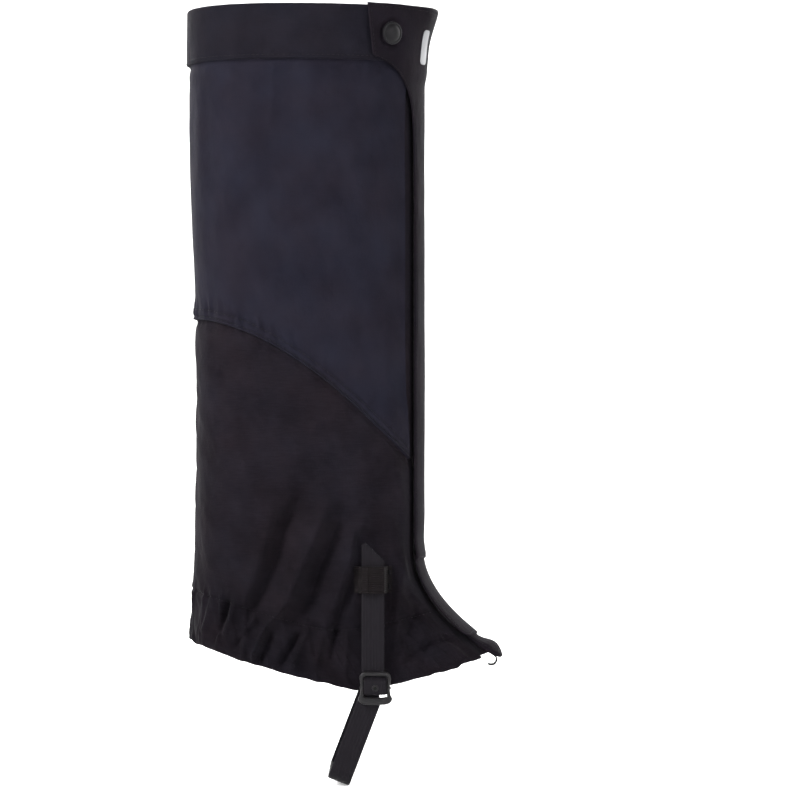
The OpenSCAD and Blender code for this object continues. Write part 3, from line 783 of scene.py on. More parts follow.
def grid(a_list, low, high, rows):
    """Angles and heights of a band whose edges are numbers or curves over the angle."""
    a = np.tile(np.asarray(a_list, float), (rows + 1, 1))
    t = np.linspace(0, 1, rows + 1)[:, None]
    low = low(a) if callable(low) else np.full(a.shape, float(low))
    high = high(a) if callable(high) else np.full(a.shape, float(high))
    return a, low + (high - low) * t


def on_cloth(a, s, off, relief=sleeve_relief):
    """Points and normals on the sleeve's cloth, in metres."""
    a, s = np.asarray(a, float), np.asarray(s, float)
    n = outward(a, s)
    return (skin(a, s + hem_wave(a, s)) + n * (off + relief(a, s))[..., None]) * MM, n


def settle(piece, body, nodes=()):
    """Body and CAD nodes of one piece."""
    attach(piece, body)
    if nodes:
        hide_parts(*nodes)


def sew(name, path, normals, mat, body="sleeve", nodes=(), **size):
    """A row of stitches in thread, with its body."""
    settle(stitches(name, path, normals, mat["thread"], **size), body, nodes)


# ---------------------------------------------------------------- sleeve pieces
WRAP = np.linspace(PANEL_MED_A, PANEL_LAT_A, 301)


def edge_pull(s):
    """Degrees by which the panel's front edge is drawn back from the closure, uneven down the shin."""
    middle = ease((s - 215) / 50) * ease((COLLAR_LOW - 4 - s) / 20)
    return middle * (4.6 + 1.3 * ripple(s / 60, 0 * s + 0.5, 23))


def make_upper_panel(mat):
    a, s = grid(WRAP, lambda a: seam_s(a) - 1.0, COLLAR_LOW + 4, 110)
    edge = 0.35 * np.exp(-((s - s[:1]) / 0.8) ** 2) - 0.5 * np.exp(-((PANEL_LAT_A - a) / 1.6) ** 2)
    a = a - edge_pull(s) * ease((a - 300) / 35)
    piece = layer("upper_panel", a, s, 0.1, CLOTH_T - edge, mat["navy"])
    settle(piece, "sleeve", ["upper_panel"])


def make_lower_panel(mat):
    """Lower panel with its hem folded inside, as one folded sheet from the casing's top edge to the seam."""
    fold_out, fold_in = 1.85, 0.75
    columns = np.linspace(PANEL_MED_A, PANEL_LAT_A, 421)
    up_inside = np.linspace(101, HEM_Z + fold_out, 26)
    turn = np.linspace(np.pi, 0, 9)[1:-1]
    outer_rows, inner_rows = [], []
    for s in up_inside:
        outer_rows.append((np.full(columns.shape, s), -2.5))
        inner_rows.append((np.full(columns.shape, s), -1.5))
    for t in turn:
        drop = HEM_Z + fold_out - math.sin(t) * fold_out
        outer_rows.append((np.full(columns.shape, drop), -0.65 + math.cos(t) * fold_out))
        drop = HEM_Z + fold_out - math.sin(t) * fold_in
        inner_rows.append((np.full(columns.shape, drop), -0.75 + math.cos(t) * fold_in))
    for t in np.linspace(0, 1, 171):
        s = HEM_Z + fold_out + (seam_s(columns) - 0.2 - HEM_Z - fold_out) * t
        outer_rows.append((s, CLOTH_T))
        inner_rows.append((s, 0.1))
    a = np.tile(columns, (len(outer_rows), 1))

    def face(rows):
        s = np.array([row[0] for row in rows])
        off = np.array([row[1] for row in rows])[:, None]
        return s, on_cloth(a, s, off)[0]

    s_out, outer = face(outer_rows)
    inner = face(inner_rows)[1]
    piece = shell("lower_panel", outer, inner, laid_flat(a, s_out, PANEL_MM, REAR_A), mat["black"])
    settle(piece, "sleeve", ["lower_panel", "hem_casing"])


def make_seam(mat):
    """Folded lap over the panel seam, its two stitch rows, and the tape inside."""
    columns = np.linspace(30.3, PANEL_LAT_A - 0.3, 421)
    a, s = grid(columns, lambda a: seam_s(a) - 0.8, lambda a: seam_s(a) + 7.2, 10)
    t = np.linspace(0, 1, 11)[:, None]
    round_edge = 0.55 * (np.exp(-(t / 0.07) ** 2) + 0.9 * np.exp(-((1 - t) / 0.07) ** 2))
    groove = 0.5 * (np.exp(-((t - 0.28) / 0.08) ** 2) + np.exp(-((t - 0.86) / 0.08) ** 2))
    crest = 0.7 * np.exp(-((t - 0.12) / 0.1) ** 2)
    piece = layer("seam_band", a, s, 1.32, 1.95 - 0.6 * round_edge - groove + crest, mat["navy"])
    settle(piece, "sleeve", ["seam_band"])
    for name, up in (("seam_stitches_low", 1.45), ("seam_stitches_high", 6.1)):
        path, normals = on_cloth(columns, seam_s(columns) + up, 1.72)
        sew(name, path, normals, mat)
    a, s = grid(np.linspace(PANEL_MED_A + 4, PANEL_LAT_A - 4, 200), lambda a: seam_s(a) - 8,
                lambda a: seam_s(a) + 8, 8)
    tape = layer("seam_tape", a, s, -0.55, -0.15, mat["tape"])
    settle(tape, "sleeve", ["seam_tape"])


def make_collar(mat):
    """Collar band folded over the top rim, with the elastic between its two layers."""
    middle, r_out, r_in = 0.5, 1.65, 0.8
    rim = TOP_Z - r_out
    turn = np.linspace(0, np.pi, 13)

    def over_rim(radius, first_off, second_off):
        """(height, offset) points up the outside, over the rim and down the inside."""
        path = [(COLLAR_LOW - 0.1, first_off), (COLLAR_LOW + 0.25, second_off)]
        path += [(s, middle + radius) for s in np.linspace(COLLAR_LOW + 1.2, rim, 22)[:-1]]
        path += [(rim + math.sin(t) * radius, middle + math.cos(t) * radius) for t in turn]
        return path + [(s, middle - radius) for s in np.linspace(rim, COLLAR_LOW - 2, 12)[1:]]

    def face(path):
        s = np.array([p[0] for p in path])[:, None] + 0 * WRAP[None]
        off = np.array([p[1] for p in path])[:, None]
        a = np.tile(WRAP, (len(path), 1))
        groove = 0.45 * np.exp(-((s - COLLAR_LOW - COLLAR_ROW) / 0.6) ** 2) * (off > 1.6)
        lip = 0.8 * np.exp(-((s - COLLAR_LOW - 0.6) / 2.6) ** 2) * (off > 1.6)
        return a, s, on_cloth(a, s, off - groove + lip)[0]

    a, s, outer = face(over_rim(r_out, 1.7, 2.0))
    inner = face(over_rim(r_in, 1.45, 1.35))[2]
    piece = shell("collar", outer, inner, laid_flat(a, s, COLLAR_MM, REAR_A), mat["collar"])
    settle(piece, "sleeve", ["collar_band", "collar_facing"])
    path, normals = on_cloth(WRAP[2:-2], np.full(WRAP[2:-2].shape, COLLAR_LOW + COLLAR_ROW), 2.35)
    sew("collar_stitches", path, normals, mat)
    a, s = grid(np.linspace(70, 290, 161), COLLAR_LOW + 13, TOP_Z - 6, 8)
    elastic = layer("collar_elastic", a, s, 0.1, 1.0, mat["elastic"])
    settle(elastic, "sleeve", ["collar_elastic"])


def make_hem_details(mat):
    a, s = grid(np.linspace(62, 298, 281), HEM_Z + 6, 93, 22)
    elastic = layer("hem_elastic", a, s, -1.3, -0.4, mat["elastic"])
    settle(elastic, "sleeve", ["hem_elastic"])
    columns = np.linspace(PANEL_MED_A + 3, PANEL_LAT_A - 1, 600)
    path, normals = on_cloth(columns, stitch_top(columns), CLOTH_T + 0.02)
    sew("casing_stitches", path, normals, mat, length=2.2, gap=0.8, radius=0.2)


def make_placket(mat):
    """Underlap behind the front opening, with its loop tape."""
    a, s = grid(np.linspace(-33, 18.5, 50), HEM_Z + 2, TOP_Z - 1, 200)
    piece = layer("front_placket", a, s, -1.5, -0.55, mat["black"])
    settle(piece, "sleeve", ["front_placket"])
    a, s = grid(np.linspace(-17, 13, 30), HEM_Z + 24, COLLAR_LOW - 6, 190)
    fuzz = 0.16 * ripple(a * 2.2, s * 1.1, 31)
    tape = layer("loop_tape", a, s, 0.0, 0.65 + fuzz, mat["loop"])
    settle(tape, "sleeve", ["loop_tape"])


# ---------------------------------------------------------------- front closure
FLAP_LOW = 141.0
FLAP_TOP = TOP_Z + 1
MARGIN_A = 28.0
BINDING_A = (21.9, 29.6)
BINDING_OFF = (2.55, 3.15)
STITCH_IN = 2.0               # from a leaf's edge to its stitch row


def flap_free_a(s):
    return np.where(s >= TAB_Z, -55 - 5 * (s - TAB_Z) / (TOP_Z - TAB_Z),
                    FREE_A - 33.5 * np.exp(np.minimum(0, s - TAB_Z) / 14))


def collar_lift(s):
    return 1.05 * ease((s - (COLLAR_LOW - 14)) / 10)


def flap_lift(s):
    return 1.5 * ease((FLAP_LOW + 18 - s) / 14) + collar_lift(s)


def no_relief(a, s):
    return np.zeros(np.shape(a))


def flap_relief(a, s):
    """Crown of the stiff flap over the closure, its flare at the top, and a quiet unevenness."""
    crown = 1.2 * np.sin(np.pi * np.clip((a - FREE_A) / (HINGE_A - FREE_A), 0, 1)) ** 0.8
    flare = 4.2 * ease((s - 480) / 34) ** 1.3 * ease((a + 34) / 22)
    from_snap = np.hypot((a - SNAP_A) * FRONT_MM, s - SNAP_Z)
    pressed = 1.7 * np.exp(-((from_snap - 8.5) / 1.4) ** 2)
    quiet = 0.22 * ripple(a / 9, s / 34, 41) + 0.1 * ripple(a / 3.5, s / 13, 42)
    toe = 1 - 0.7 * ease((FLAP_LOW + 34 - s) / 30)
    return (crown + quiet) * toe + flare - pressed


def dense(low, high, count, power=2.2):
    """Numbers from low to high, close together near both ends."""
    t = np.linspace(-1, 1, count)
    shaped = np.sign(t) * (1 - (1 - np.abs(t)) ** power)
    return low + (high - low) * (shaped + 1) / 2


def margin_drop(a):
    """How far the flap's sewn margin sinks towards the sleeve, past the hinge."""
    return 1.15 * ease((a - HINGE_A) / 3.0)


def edge_profile(a, s, free_a, high, low):
    """Lowering of the flap's face at its rolled edges and along its stitch line, in mm."""
    from_free = (a - free_a) * FRONT_MM
    from_high, from_low = high - s, s - low
    edge = np.minimum(np.minimum(from_free, from_high), from_low)
    return 0.5 * np.exp(-(edge / 0.55) ** 2) + 0.28 * np.exp(-((edge - STITCH_IN) / 0.5) ** 2)


def tab_lip(a, s, free_a):
    """Rise of the snap tab's free edge, which stands a little off the collar."""
    return 0.9 * np.exp(-(((a - free_a) * FRONT_MM - 1.0) / 3.0) ** 2) * ease((s - SNAP_Z + 22) / 10)


def leaf_relief(a, s):
    """The flap's relief, which fades out towards its hinge."""
    return flap_relief(a, s) * ease((HINGE_A - a) / 12)


def flap_sheet(name, a, s, free_a, low, high, lift, material):
    lift = lift + tab_lip(a, s, free_a)
    drop = margin_drop(a)
    shape = edge_profile(a, s, free_a, high, low)
    relief = leaf_relief(a, s)
    base, n = skin(a, s), outward(a, s)
    outer = (base + n * (FLAP_IN + FLAP_T + lift - drop - shape + relief)[..., None]) * MM
    inner = (base + n * (FLAP_IN + lift - drop + 0.2 * (shape > 0.3) + relief)[..., None]) * MM
    return shell(name, outer, inner, laid_flat(a, s, FRONT_MM), material)


def flap_stitch_row(name, a, s, lift, mat, body):
    n = outward(a, s)
    path = (skin(a, s) + n * (FLAP_IN + FLAP_T + lift + leaf_relief(a, s) - 0.2)[..., None]) * MM
    sew(name, path, n, mat, body, length=2.2)


def hook_tape(name, low, high, rows, seed, mat, body):
    """Hook tape under a leaf of the flap."""
    a, s = grid(np.linspace(FREE_A + 3, HINGE_A - 6, 30), low, high, rows)
    back = 1.35 + 0.15 * ripple(a * 2.5, s * 1.3, seed)
    settle(layer(name, a, s, back, 2.5, mat["hook"], no_relief), body, [name])


def make_front_flap(mat):
    """Shin flap with its snap tab and its sewn margin."""
    rows = np.concatenate([dense(FLAP_LOW, TAB_Z - 70, 120), np.linspace(TAB_Z - 69, FLAP_TOP - 6, 90),
                           np.linspace(FLAP_TOP - 5.6, FLAP_TOP, 14)])
    across = dense(0, 1, 70)
    s = np.tile(rows[:, None], (1, len(across)))
    free = flap_free_a(s)
    a = free + (MARGIN_A - free) * across[None]
    piece = flap_sheet("front_flap", a, s, free, FLAP_LOW, FLAP_TOP, flap_lift(s), mat["flap"])
    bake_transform(piece)
    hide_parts("front_flap")
    run = np.linspace(FLAP_LOW + 2, FLAP_TOP - 2, 400)
    free_row = flap_free_a(run) + STITCH_IN / FRONT_MM
    row_lift = flap_lift(run) + tab_lip(free_row, run, flap_free_a(run))
    flap_stitch_row("flap_stitches_free", free_row, run, row_lift, mat, "front_flap")
    across_top = np.linspace(flap_free_a(FLAP_TOP - 2) + 2, HINGE_A - 4, 80)
    level = np.full(across_top.shape, FLAP_TOP - STITCH_IN)
    flap_stitch_row("flap_stitches_top", across_top, level, flap_lift(level), mat, "front_flap")
    hook_tape("hook_tape", FLAP_LOW + 22, COLLAR_LOW - 24, 150, 32, mat, "front_flap")


FOOT_LOW = 73.0
FAR = 999.0  # an edge that is nowhere near


def round_corner(distance, corner):
    """How far an edge steps in near a side, for a quarter-round corner."""
    return corner - np.sqrt(np.maximum(0, corner ** 2 - np.maximum(0, corner - distance) ** 2))


def foot_edge(a):
    """Lower edge of the foot leaf, which dips beside the sewn edge to cover the end of the closure."""
    return FOOT_LOW - 10 * ease((a - 9) / 8)


def foot_top(a):
    return FLAP_LOW + 4 - 4.8 * ease((a + 4) / 10)


def make_flap_foot(mat):
    """Foot leaf of the flap, rounded at its lower free corner."""
    across = dense(0, 1, 60)
    up = dense(0, 1, 90)
    a = FREE_A + (MARGIN_A - FREE_A) * np.tile(across[None], (len(up), 1))
    low = foot_edge(a) + round_corner((a - FREE_A) * FRONT_MM, 7.0) * 0.9
    s = low + (foot_top(np.minimum(a, HINGE_A)) - low) * up[:, None]
    piece = flap_sheet("flap_foot", a, s, FREE_A, low, FAR, 0.0 * a, mat["flap"])
    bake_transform(piece)
    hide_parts("flap_foot")
    run = np.linspace(FOOT_LOW + 6, FLAP_LOW - 6, 120)
    flap_stitch_row("foot_stitches_free", np.full(run.shape, FREE_A + 1.5), run, 0 * run, mat, "flap_foot")
    along = np.linspace(FREE_A + 5.5, HINGE_A - 4, 60)
    flap_stitch_row("foot_stitches_low", along, foot_edge(along) + STITCH_IN, 0 * along, mat, "flap_foot")
    hook_tape("hook_tape_foot", FOOT_LOW + 4, FLAP_LOW - 9, 60, 33, mat, "flap_foot")


def make_binding(mat):
    """Tape sewn over the flap's margin on the inner side of the leg, with two stitch rows."""
    columns = dense(BINDING_A[0], BINDING_A[1], 24)
    a, s = grid(columns, HEM_Z + 21, TOP_Z, 260)
    lift = collar_lift(s)
    t = (a - BINDING_A[0]) / (BINDING_A[1] - BINDING_A[0])
    round_edge = 0.4 * (np.exp(-(t / 0.05) ** 2) + np.exp(-((1 - t) / 0.05) ** 2))
    lift = lift - 1.1 * ease((t - 0.78) / 0.2)
    under, over = BINDING_OFF[0] + lift, BINDING_OFF[1] + lift - round_edge
    piece = layer("flap_binding", a, s, under, over, mat["webbing"], no_relief)
    settle(piece, "sleeve", ["flap_binding"])
    run = np.linspace(HEM_Z + 23, TOP_Z - 2, 400)
    for name, where in (("binding_stitches_front", 23.3), ("binding_stitches_rear", 27.2)):
        a = np.full(run.shape, where)
        n = outward(a, run)
        path = (skin(a, run) + n * (BINDING_OFF[1] + collar_lift(run))[:, None]) * MM
        sew(name, path, n, mat)


def make_reflective_patch(mat):
    """Plain reflective patch with round corners on the flap's front."""
    a0, a1, low, high, corner = -18.5, -11.0, 472.0, 495.0, 3.0
    s = low + (high - low) * dense(0, 1, 30)
    inset = round_corner(np.minimum(s - low, high - s), corner) / FRONT_MM
    t = np.linspace(0, 1, 24)
    start, end = a0 + inset, a1 - inset
    a = start[:, None] + (end - start)[:, None] * t[None]
    s = np.tile(s[:, None], (1, len(t)))
    base, n = skin(a, s), outward(a, s)
    lift = FLAP_IN + FLAP_T + flap_lift(s) + leaf_relief(a, s)
    outer = (base + n * (lift + 0.32)[..., None]) * MM
    inner = (base + n * (lift + 0.02)[..., None]) * MM
    piece = shell("reflective_patch", outer, inner, laid_flat(a, s, FRONT_MM), mat["reflective"])
    settle(piece, "front_flap", ["reflective_patch"])


def make_snap(mat):
    """Pressed cap of the snap, with its rolled rim."""
    at, n = np.array([SNAP_A]), np.array([SNAP_Z])
    base, normal = skin(at, n)[0], outward(at, n)[0]
    seat = (base + normal * 4.7) * MM
    profile = [(6.7, -0.05), (7.25, 0.05), (7.5, 0.35), (7.45, 0.75), (7.1, 1.05), (6.6, 1.12), (6.2, 1.0),
               (5.95, 0.98), (5.6, 1.15), (4.8, 1.62), (3.6, 2.1), (2.2, 2.42), (0.9, 2.52), (0.02, 2.54)]
    cap = lathe("snap_cap", profile, seat, normal, mat["snap"], 64)
    settle(cap, "front_flap", ["snap_cap"])


# ---------------------------------------------------------------- straps, keeper and buckle
STRAP_W, STRAP_T = 15.0, 1.6
TAIL_X, TAIL_LOW_Z, TAIL_LEN = 42.5, 72.6, 83.0
TAIL_TILT = math.radians(2.2)
STRAP_FACE_Y = -46.8
PIVOT = np.array([40.0, 0.6, 51.5])
SLANT = math.radians(21)
LOOP_HALF = 47.4 + STRAP_T / 2
BUCKLE_X, BUCKLE_Z = 44.0, 61.0
BUCKLE_MID_Y = -50.2
TAIL_UP = np.array([0, math.sin(TAIL_TILT), math.cos(TAIL_TILT)])
TAIL_OUT = np.array([0, -math.cos(TAIL_TILT), math.sin(TAIL_TILT)])
ACROSS = np.array([1.0, 0, 0])


def strap_thickness(x, ribs=7):
    """Half thickness of the webbing across its width: rounded selvedges and lengthwise ribs."""
    share = np.abs(x) / (STRAP_W / 2)
    selvedge = 1 - 0.75 * share ** 10
    ridges = 0.05 * np.cos(2 * np.pi * ribs * x / STRAP_W)
    return (STRAP_T / 2 - 0.1) * selvedge + ridges * (share < 0.93)


def strap_sheet(name, x, run, frame_of, material):
    """Strap over a grid of places across (mm) and along (mm); frame_of gives centre and normal for a run."""
    centre, across, normal = frame_of(run)
    half = strap_thickness(x)[..., None]
    mid = centre + across * x[..., None]
    coords = np.stack([x, run, 0 * x], -1)
    return shell(name, (mid + normal * half) * MM, (mid - normal * half) * MM, coords, material)


def make_strap_tail(mat):
    """Loose end: rises from the buckle through the keeper to its slanted tip."""
    x_line = np.linspace(STRAP_W / 2, -STRAP_W / 2, 57)
    past_point = x_line + 4.9
    tip = TAIL_LEN + np.where(past_point > 0, -past_point * 12 / 12.4, past_point * 1.5 / 2.6)
    t = np.linspace(0, 1, 90)[:, None]
    x = np.tile(x_line, (90, 1))
    run = -0.4 + (tip + 0.4)[None] * t

    def frame_of(run):
        bend = 0.45 * np.sin(run / 19) + 0.9 * ease((run - 66) / 20)
        centre = np.array([TAIL_X, STRAP_FACE_Y, TAIL_LOW_Z]) + run[..., None] * TAIL_UP
        return centre + TAIL_OUT * (STRAP_T / 2 + bend)[..., None], ACROSS, TAIL_OUT

    piece = strap_sheet("strap_tail", x, run, frame_of, mat["strap"])
    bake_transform(piece)
    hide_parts("strap_tail")


def smooth_path(points, count):
    """Points along a Catmull-Rom curve through the given ones."""
    p = np.asarray(points, float)
    p = np.vstack([2 * p[0] - p[1], p, 2 * p[-1] - p[-2]])
    out = []
    spans = len(p) - 3
    for t in np.linspace(0, spans, count):
        i = min(int(t), spans - 1)
        f = t - i
        a, b, c, d = p[i:i + 4]
        square, cube = 2 * a - 5 * b + 4 * c - d, 3 * b - a - 3 * c + d
        out.append(0.5 * (2 * b + (c - a) * f + square * f ** 2 + cube * f ** 3))
    return np.array(out)


def along_path(path):
    """Centre and normal lookups by run (mm) for a path in the y-z plane, across +x."""
    run = run_along(path)
    tangent = unit(np.gradient(path, axis=0))

    def look(values, at):
        return np.stack([np.interp(at, run, values[:, k]) for k in range(3)], -1)

    return run[-1], lambda at: look(path, at), lambda at: look(tangent, at)


def make_strap_in_buckle(mat):
    """Stretch of the strap over the buckle's bar, in front of its rails' slots."""
    y_back, y_front = STRAP_FACE_Y - STRAP_T / 2, -52.9
    over_bar = [(-49.6, 57.0), (-51.2, 57.2), (-52.5, 58.2), (y_front, 60.0), (y_front - 0.1, 62.0),
                (y_front, 64.2), (-52.3, 65.8), (-50.6, 66.9)]
    points = [(BUCKLE_X, y, z) for y, z in over_bar]
    points += [(BUCKLE_X - 0.6, -48.6, 68.0), (TAIL_X + 0.2, y_back, 70.2), (TAIL_X, y_back, 72.3)]
    total, centre_at, tangent_at = along_path(smooth_path(points, 200))
    x, run = np.meshgrid(np.linspace(STRAP_W / 2, -STRAP_W / 2, 57), np.linspace(0, total, 120))

    def frame_of(run):
        return centre_at(run), ACROSS, unit(np.cross(ACROSS, tangent_at(run)))

    piece = strap_sheet("strap_in_buckle", x, run, frame_of, mat["strap"])
    settle(piece, "sleeve", ["strap_in_buckle"])
    ring = [(1.25, 0.1), (1.35, 0.45), (1.8, 0.5), (2.1, 0.25), (2.15, -0.1)]
    eyelet = lathe("strap_eyelet", ring, np.array([BUCKLE_X, y_front - 0.9, BUCKLE_Z]) * MM, (0, -1, 0),
                   mat["dark_metal"], 32)
    settle(eyelet, "sleeve")


def make_instep_strap(mat):
    """Strap loop under the arch, round the corners and up to the pivot on both sides."""
    corner = 8.2
    deep = PIVOT[2] / math.cos(SLANT) + STRAP_T / 2
    arc = np.linspace(0, np.pi / 2, 14)
    side = np.linspace(0, deep - corner, 30)[:, None]
    left = [(-LOOP_HALF, -float(v)) for v in np.concatenate([[-8], side[:, 0]])]
    left += [(-LOOP_HALF + corner - corner * math.cos(t), -(deep - corner) - corner * math.sin(t))
             for t in arc[1:]]
    flat = [(y, -deep) for y in np.linspace(-LOOP_HALF + corner, LOOP_HALF - corner, 40)[1:-1]]
    right = [(-y, z) for y, z in reversed(left)]
    yz = np.array(left + flat + right)
    path = np.column_stack([np.zeros(len(yz)), yz])
    total, centre_at, tangent_at = along_path(path)
    x_line = np.linspace(-STRAP_W / 2, STRAP_W / 2, 57)
    bulge = 8 - np.sqrt(np.maximum(0, (STRAP_W / 2) ** 2 - x_line ** 2))
    t = np.linspace(0, 1, 300)[:, None]
    x = np.tile(x_line, (300, 1))
    run = bulge + (total - 2 * bulge) * t
    c, d = math.cos(SLANT), math.sin(SLANT)
    turn = np.array([[c, 0, d], [0, 1, 0], [-d, 0, c]])

    def frame_of(run):
        normal = np.cross(tangent_at(run), ACROSS)
        return centre_at(run) @ turn.T + PIVOT, turn @ ACROSS, normal @ turn.T

    piece = strap_sheet("instep_strap", x, run, frame_of, mat["strap"])
    settle(piece, "instep_strap", ["instep_strap"])


LATERAL = np.linspace(190, 345, 400)
MEDIAL = np.linspace(170, 25, 400)


def cloth_y(x, s, angles):
    """Outer face of the sleeve at places x and one height, on the side of the leg that angles run over."""
    points = on_cloth(angles, np.full(angles.shape, s), CLOTH_T)[0] / MM
    return np.interp(x, points[:, 0], points[:, 1])


def lateral_y(x, s):
    """Outer face of the sleeve on the outer side of the leg, at places (x, s) in mm."""
    result = np.zeros(np.shape(x))
    for index in np.ndindex(np.shape(x)):
        result[index] = cloth_y(x[index], s[index], LATERAL)
    return result


def make_keeper(mat):
    """Webbing band over the strap's loose end, its side margins sewn flat to the sleeve."""
    half_w, height, low = 12.4, 17.5, 49.8
    x_line = np.concatenate([np.linspace(half_w, 8.9, 8), np.linspace(8.6, 7.4, 8), np.linspace(7, -7, 30),
                             np.linspace(-7.4, -8.6, 8), np.linspace(-8.9, -half_w, 8)])
    x, run = np.meshgrid(x_line, np.linspace(0, height, 40))
    z = TAIL_LOW_Z + low + run
    tail_y = STRAP_FACE_Y + math.sin(TAIL_TILT) * (low + run)
    cloth = lateral_y(x[::13] + TAIL_X, z[::13])
    cloth = np.array([np.interp(z[:, 0], z[::13, 0], cloth[:, k]) for k in range(x.shape[1])]).T
    over = ease((9.9 - np.abs(x)) / 2.6)
    lapped = ease((-2.6 - x) / 0.7)
    roof = tail_y - STRAP_T - 0.9 - 0.35 * (1 - (x / 8) ** 2)
    y_in = cloth * (1 - over) + roof * over - 0.15
    ribs = 0.2 * np.cos(2 * np.pi * run / 1.45) * over * (1 - lapped) + 0.45 * lapped
    hem = 0.45 * (np.exp(-((run - 1.2) / 1.0) ** 2) + np.exp(-((height - 1.2 - run) / 1.0) ** 2))
    centre = np.stack([x + TAIL_X, y_in, z], -1) * MM
    out = np.array([0, -1.0, 0])
    wing = ease((-x - 9.4) / 0.6)
    outer = centre + out * ((1.0 + 0.5 * wing + ribs + hem) * MM)[..., None]
    piece = shell("strap_keeper", outer, centre, np.stack([x, run, 0 * x], -1), mat["webbing"])
    settle(piece, "sleeve", ["strap_keeper"])
    steps = 12
    for side in (-1, 1):
        for end, where in (("low", 2.2), ("high", height - 6.2)):
            zs = TAIL_LOW_Z + low + where + np.linspace(0, 4, steps)
            xs = np.full(steps, TAIL_X + side * 10.9)
            y = lateral_y(xs[::11], zs[::11])
            ys = np.interp(zs, zs[::11], y) - 1.8
            tack = []
            for step in range(steps):
                tack.append((xs[step] + (0.8 if step % 2 else -0.8), ys[step], zs[step]))
            name = "keeper_tack_%s_%s" % ("front" if side > 0 else "rear", end)
            sew(name, np.array(tack) * MM, np.tile(out, (steps, 1)), mat,
                nodes=["keeper_bar_tacks"] if side > 0 and end == "low" else (),
                length=1.5, gap=0.15, radius=0.28)


def make_buckle_frame(mat):
    """Cast frame: rounded section run round a rectangle with waisted sides and a heavier bottom rail."""
    half_w, half_h, corner = 9.3, 9.4, 3.4
    corners = [(1, 1), (-1, 1), (-1, -1), (1, -1)]

    def on_corner(index, deg):
        """Point on a round corner of the rectangle, at an angle in degrees."""
        side_x, side_z = corners[index % 4]
        t = math.radians(deg)
        return np.array([side_x * (half_w - corner) + corner * math.cos(t),
                         side_z * (half_h - corner) + corner * math.sin(t)])

    loop = []
    for index in range(4):
        first, last = 90 * index, 90 * index + 90
        loop += [on_corner(index, deg) for deg in np.linspace(first, last, 9)]
        start, stop = loop[-1], on_corner(index + 1, last)
        loop += [start + (stop - start) * f for f in np.linspace(0, 1, 14)[1:-1]]
    loop = np.array(loop)
    upright = np.abs(loop[:, 0]) > half_w - 1.2
    waist = np.where(upright, 1 - 0.10 * np.cos(np.clip(loop[:, 1] / half_h, -1, 1) * np.pi / 2) ** 2, 1.0)
    loop[:, 0] *= waist
    low_share = ease((-loop[:, 1] - half_h * 0.55) / (half_h * 0.4))
    top_share = ease((loop[:, 1] - half_h * 0.6) / (half_h * 0.35))
    loop[:, 0] *= 1 + 0.05 * low_share
    loop[:, 1] += low_share * (1.2 - 0.6 * np.cos(loop[:, 0] / half_w * 1.4)) - 0.35 * top_share
    tangent = unit(np.roll(loop, -1, 0) - np.roll(loop, 1, 0))
    outward_2d = np.column_stack([tangent[:, 1], -tangent[:, 0]])
    verts = []
    sides = 14
    for point, side, low, high in zip(loop, outward_2d, low_share, top_share):
        rail = 1.25 + 1.3 * low + 0.3 * high
        thick = 1.3 + 0.3 * low
        for k in range(sides):
            t = 2 * math.pi * k / sides
            c, d = math.cos(t), math.sin(t)
            in_plane = rail * math.copysign(abs(c) ** 0.7, c)
            deep = thick * math.copysign(abs(d) ** 0.7, d)
            spot = point + side * in_plane
            verts.append(np.array([BUCKLE_X + spot[0], BUCKLE_MID_Y - deep, BUCKLE_Z + spot[1]]) * MM)
    faces = []
    for i in range(len(loop)):
        here, after = i * sides, (i + 1) % len(loop) * sides
        for k in range(sides):
            k_next = (k + 1) % sides
            faces.append((here + k, after + k, after + k_next, here + k_next))
    piece = new_mesh("buckle_frame", verts, faces)
    piece.data.materials.append(mat["dark_metal"])
    settle(piece, "sleeve", ["buckle_frame"])


def make_buckle_anchor(mat):
    """Two webbing loops round the buckle's bar, sewn to the sleeve behind the strap."""
    points = [(-45.0, 73.0), (-45.0, 68.0), (-45.1, 64.0), (-46.4, 62.6), (-48.6, 62.6), (-50.2, 62.6),
              (-51.6, 61.8), (-51.6, 60.2), (-50.2, 59.4), (-48.6, 59.8), (-46.6, 60.9), (-45.9, 63.4),
              (-45.9, 68.0), (-45.9, 73.0)]
    path = smooth_path([(0, y, z) for y, z in points], 90)
    for name, side in (("rear", -1), ("front", 1)):
        shifted = (path + [BUCKLE_X + side * 4.35, 0, 0]) * MM
        piece = ribbon("buckle_anchor_" + name, shifted, (1, 0, 0), 5.5 * MM, strap_section(0.7, 3, 0.08),
                       mat["webbing"])
        settle(piece, "sleeve", ["buckle_anchor"] if side < 0 else ())


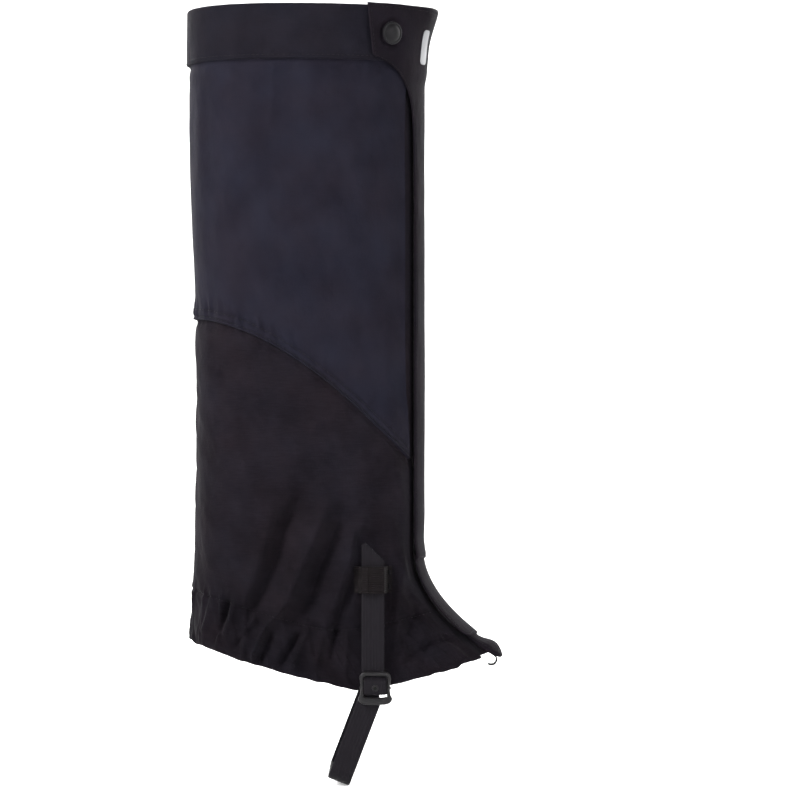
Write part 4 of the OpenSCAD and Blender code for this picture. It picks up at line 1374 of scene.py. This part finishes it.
def make_medial_tab(mat):
    """Webbing tab sewn to the hem on the inner side, which the strap's rivet goes through."""
    low, high, half_w = PIVOT[2] - 7.4, HEM_Z + 26, STRAP_W / 2
    x_line = np.linspace(-half_w, half_w, 41)
    round_low = half_w - np.sqrt(np.maximum(0, half_w ** 2 - x_line ** 2))
    t = np.linspace(0, 1, 60)[:, None]
    z = (low + round_low)[None] + (high - low - round_low)[None] * t
    x = np.tile(x_line, (60, 1))
    heights = np.linspace(HEM_Z, high, 12)
    cloth = np.array([cloth_y(PIVOT[0] + x_line, h, MEDIAL) for h in heights])
    on_sleeve = np.array([np.interp(z[:, k], heights, cloth[:, k]) for k in range(len(x_line))]).T
    least_y = 45.4
    rise = ease((z - HEM_Z + 2) / 12)
    y = (least_y + 1.0) * (1 - rise) + np.maximum(on_sleeve + 1.0, least_y) * rise
    half = (1.0 - 0.75 * np.abs(x / half_w) ** 10 * 0.9) * 0.85 + 0.08 * np.cos(2 * np.pi * 7 * x / STRAP_W)
    centre = np.stack([PIVOT[0] + x, y, z], -1)
    out = np.array([0, 1.0, 0])
    depth = out * half[..., None]
    piece = shell("strap_tab_medial", (centre - depth) * MM, (centre + depth) * MM,
                  np.stack([x, z, 0 * x], -1), mat["webbing"])
    settle(piece, "sleeve", ["strap_tab_medial"])
    corners = [(-6, 68), (6, 68), (6, 83), (-6, 83), (-6, 68), (6, 83)]
    route = []
    for (x0, z0), (x1, z1) in zip(corners[:-1], corners[1:]):
        for f in np.linspace(0, 1, 12, endpoint=False):
            px, pz = x0 + (x1 - x0) * f, z0 + (z1 - z0) * f
            lift = max(float(cloth_y(PIVOT[0] + px, pz, MEDIAL)) + 1.0, least_y) + 1.0
            route.append((PIVOT[0] + px, lift, pz))
    sew("tab_box_stitches", np.array(route) * MM, np.tile(out, (len(route), 1)), mat)


def nose_roll(a, s):
    """Padding of the tab's rolled nose."""
    return 3.4 * np.exp(-((s - HEM_Z - 3.0) / 5.5) ** 2) * np.cos(np.radians(a * 4.2))


def make_hook_tab(mat):
    """Padded cloth tab with a round nose, which carries the lace hook at the front of the hem."""
    half_a, corner, mm_per_degree = 16.0, 9.0, 1.3
    across = dense(-half_a, half_a, 60)
    from_side = (half_a - np.abs(across)) * mm_per_degree
    low = HEM_Z - 4.0 + round_corner(from_side, corner)
    up = dense(0, 1, 50)
    s = low + (HEM_Z + 26 - low) * up[:, None]
    a = np.tile(across, (len(up), 1))
    edge = np.minimum(from_side[None] + 0 * s, s - low)
    puff = 1.9 - 1.2 * np.exp(-(edge / 1.1) ** 2) - 0.35 * np.exp(-((edge - 2.8) / 0.6) ** 2)
    puff = puff + nose_roll(a, s) * ease(edge / 3.0)
    piece = layer("lace_hook_tab", a, s, 0.05, puff, mat["flap"], no_relief)
    settle(piece, "sleeve", ["lace_hook_tab"])
    ring_a = np.concatenate([np.full(30, -half_a + 2.2), across[2:-2], np.full(30, half_a - 2.2)])
    ring_s = np.concatenate([np.linspace(HEM_Z + 24, low[0] + 1, 30), low[2:-2] + 2.8,
                             np.linspace(low[-1] + 1, HEM_Z + 24, 30)])
    n = outward(ring_a, ring_s)
    path = (skin(ring_a, ring_s) + n * (1.6 + nose_roll(ring_a, ring_s))[:, None]) * MM
    sew("tab_stitches", path, n, mat, length=2.0, radius=0.22)


KEPT_NODES = {
    "buckle_bar": "dark_metal", "buckle_peg": "hook_metal", "strap_rivet": "plated",
    "lace_hook": "hook_metal", "lace_hook_rivet": "hook_metal", "snap_stud": "plated",
    "snap_back_plate": "plated", "snap_socket": "plated",
}


def dress_kept_nodes(mat):
    """Shaders for the CAD nodes that show as they are."""
    for name, key in KEPT_NODES.items():
        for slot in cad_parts[name].material_slots:
            slot.material = mat[key]


make_camera()
make_lights()
make_stage()
MATERIALS = make_materials()
for build in (make_upper_panel, make_lower_panel, make_seam, make_collar, make_hem_details, make_placket,
              make_front_flap, make_flap_foot, make_binding, make_reflective_patch, make_snap,
              make_strap_tail, make_strap_in_buckle, make_instep_strap, make_keeper, make_buckle_frame,
              make_buckle_anchor, make_medial_tab, make_hook_tab, dress_kept_nodes):
    build(MATERIALS)
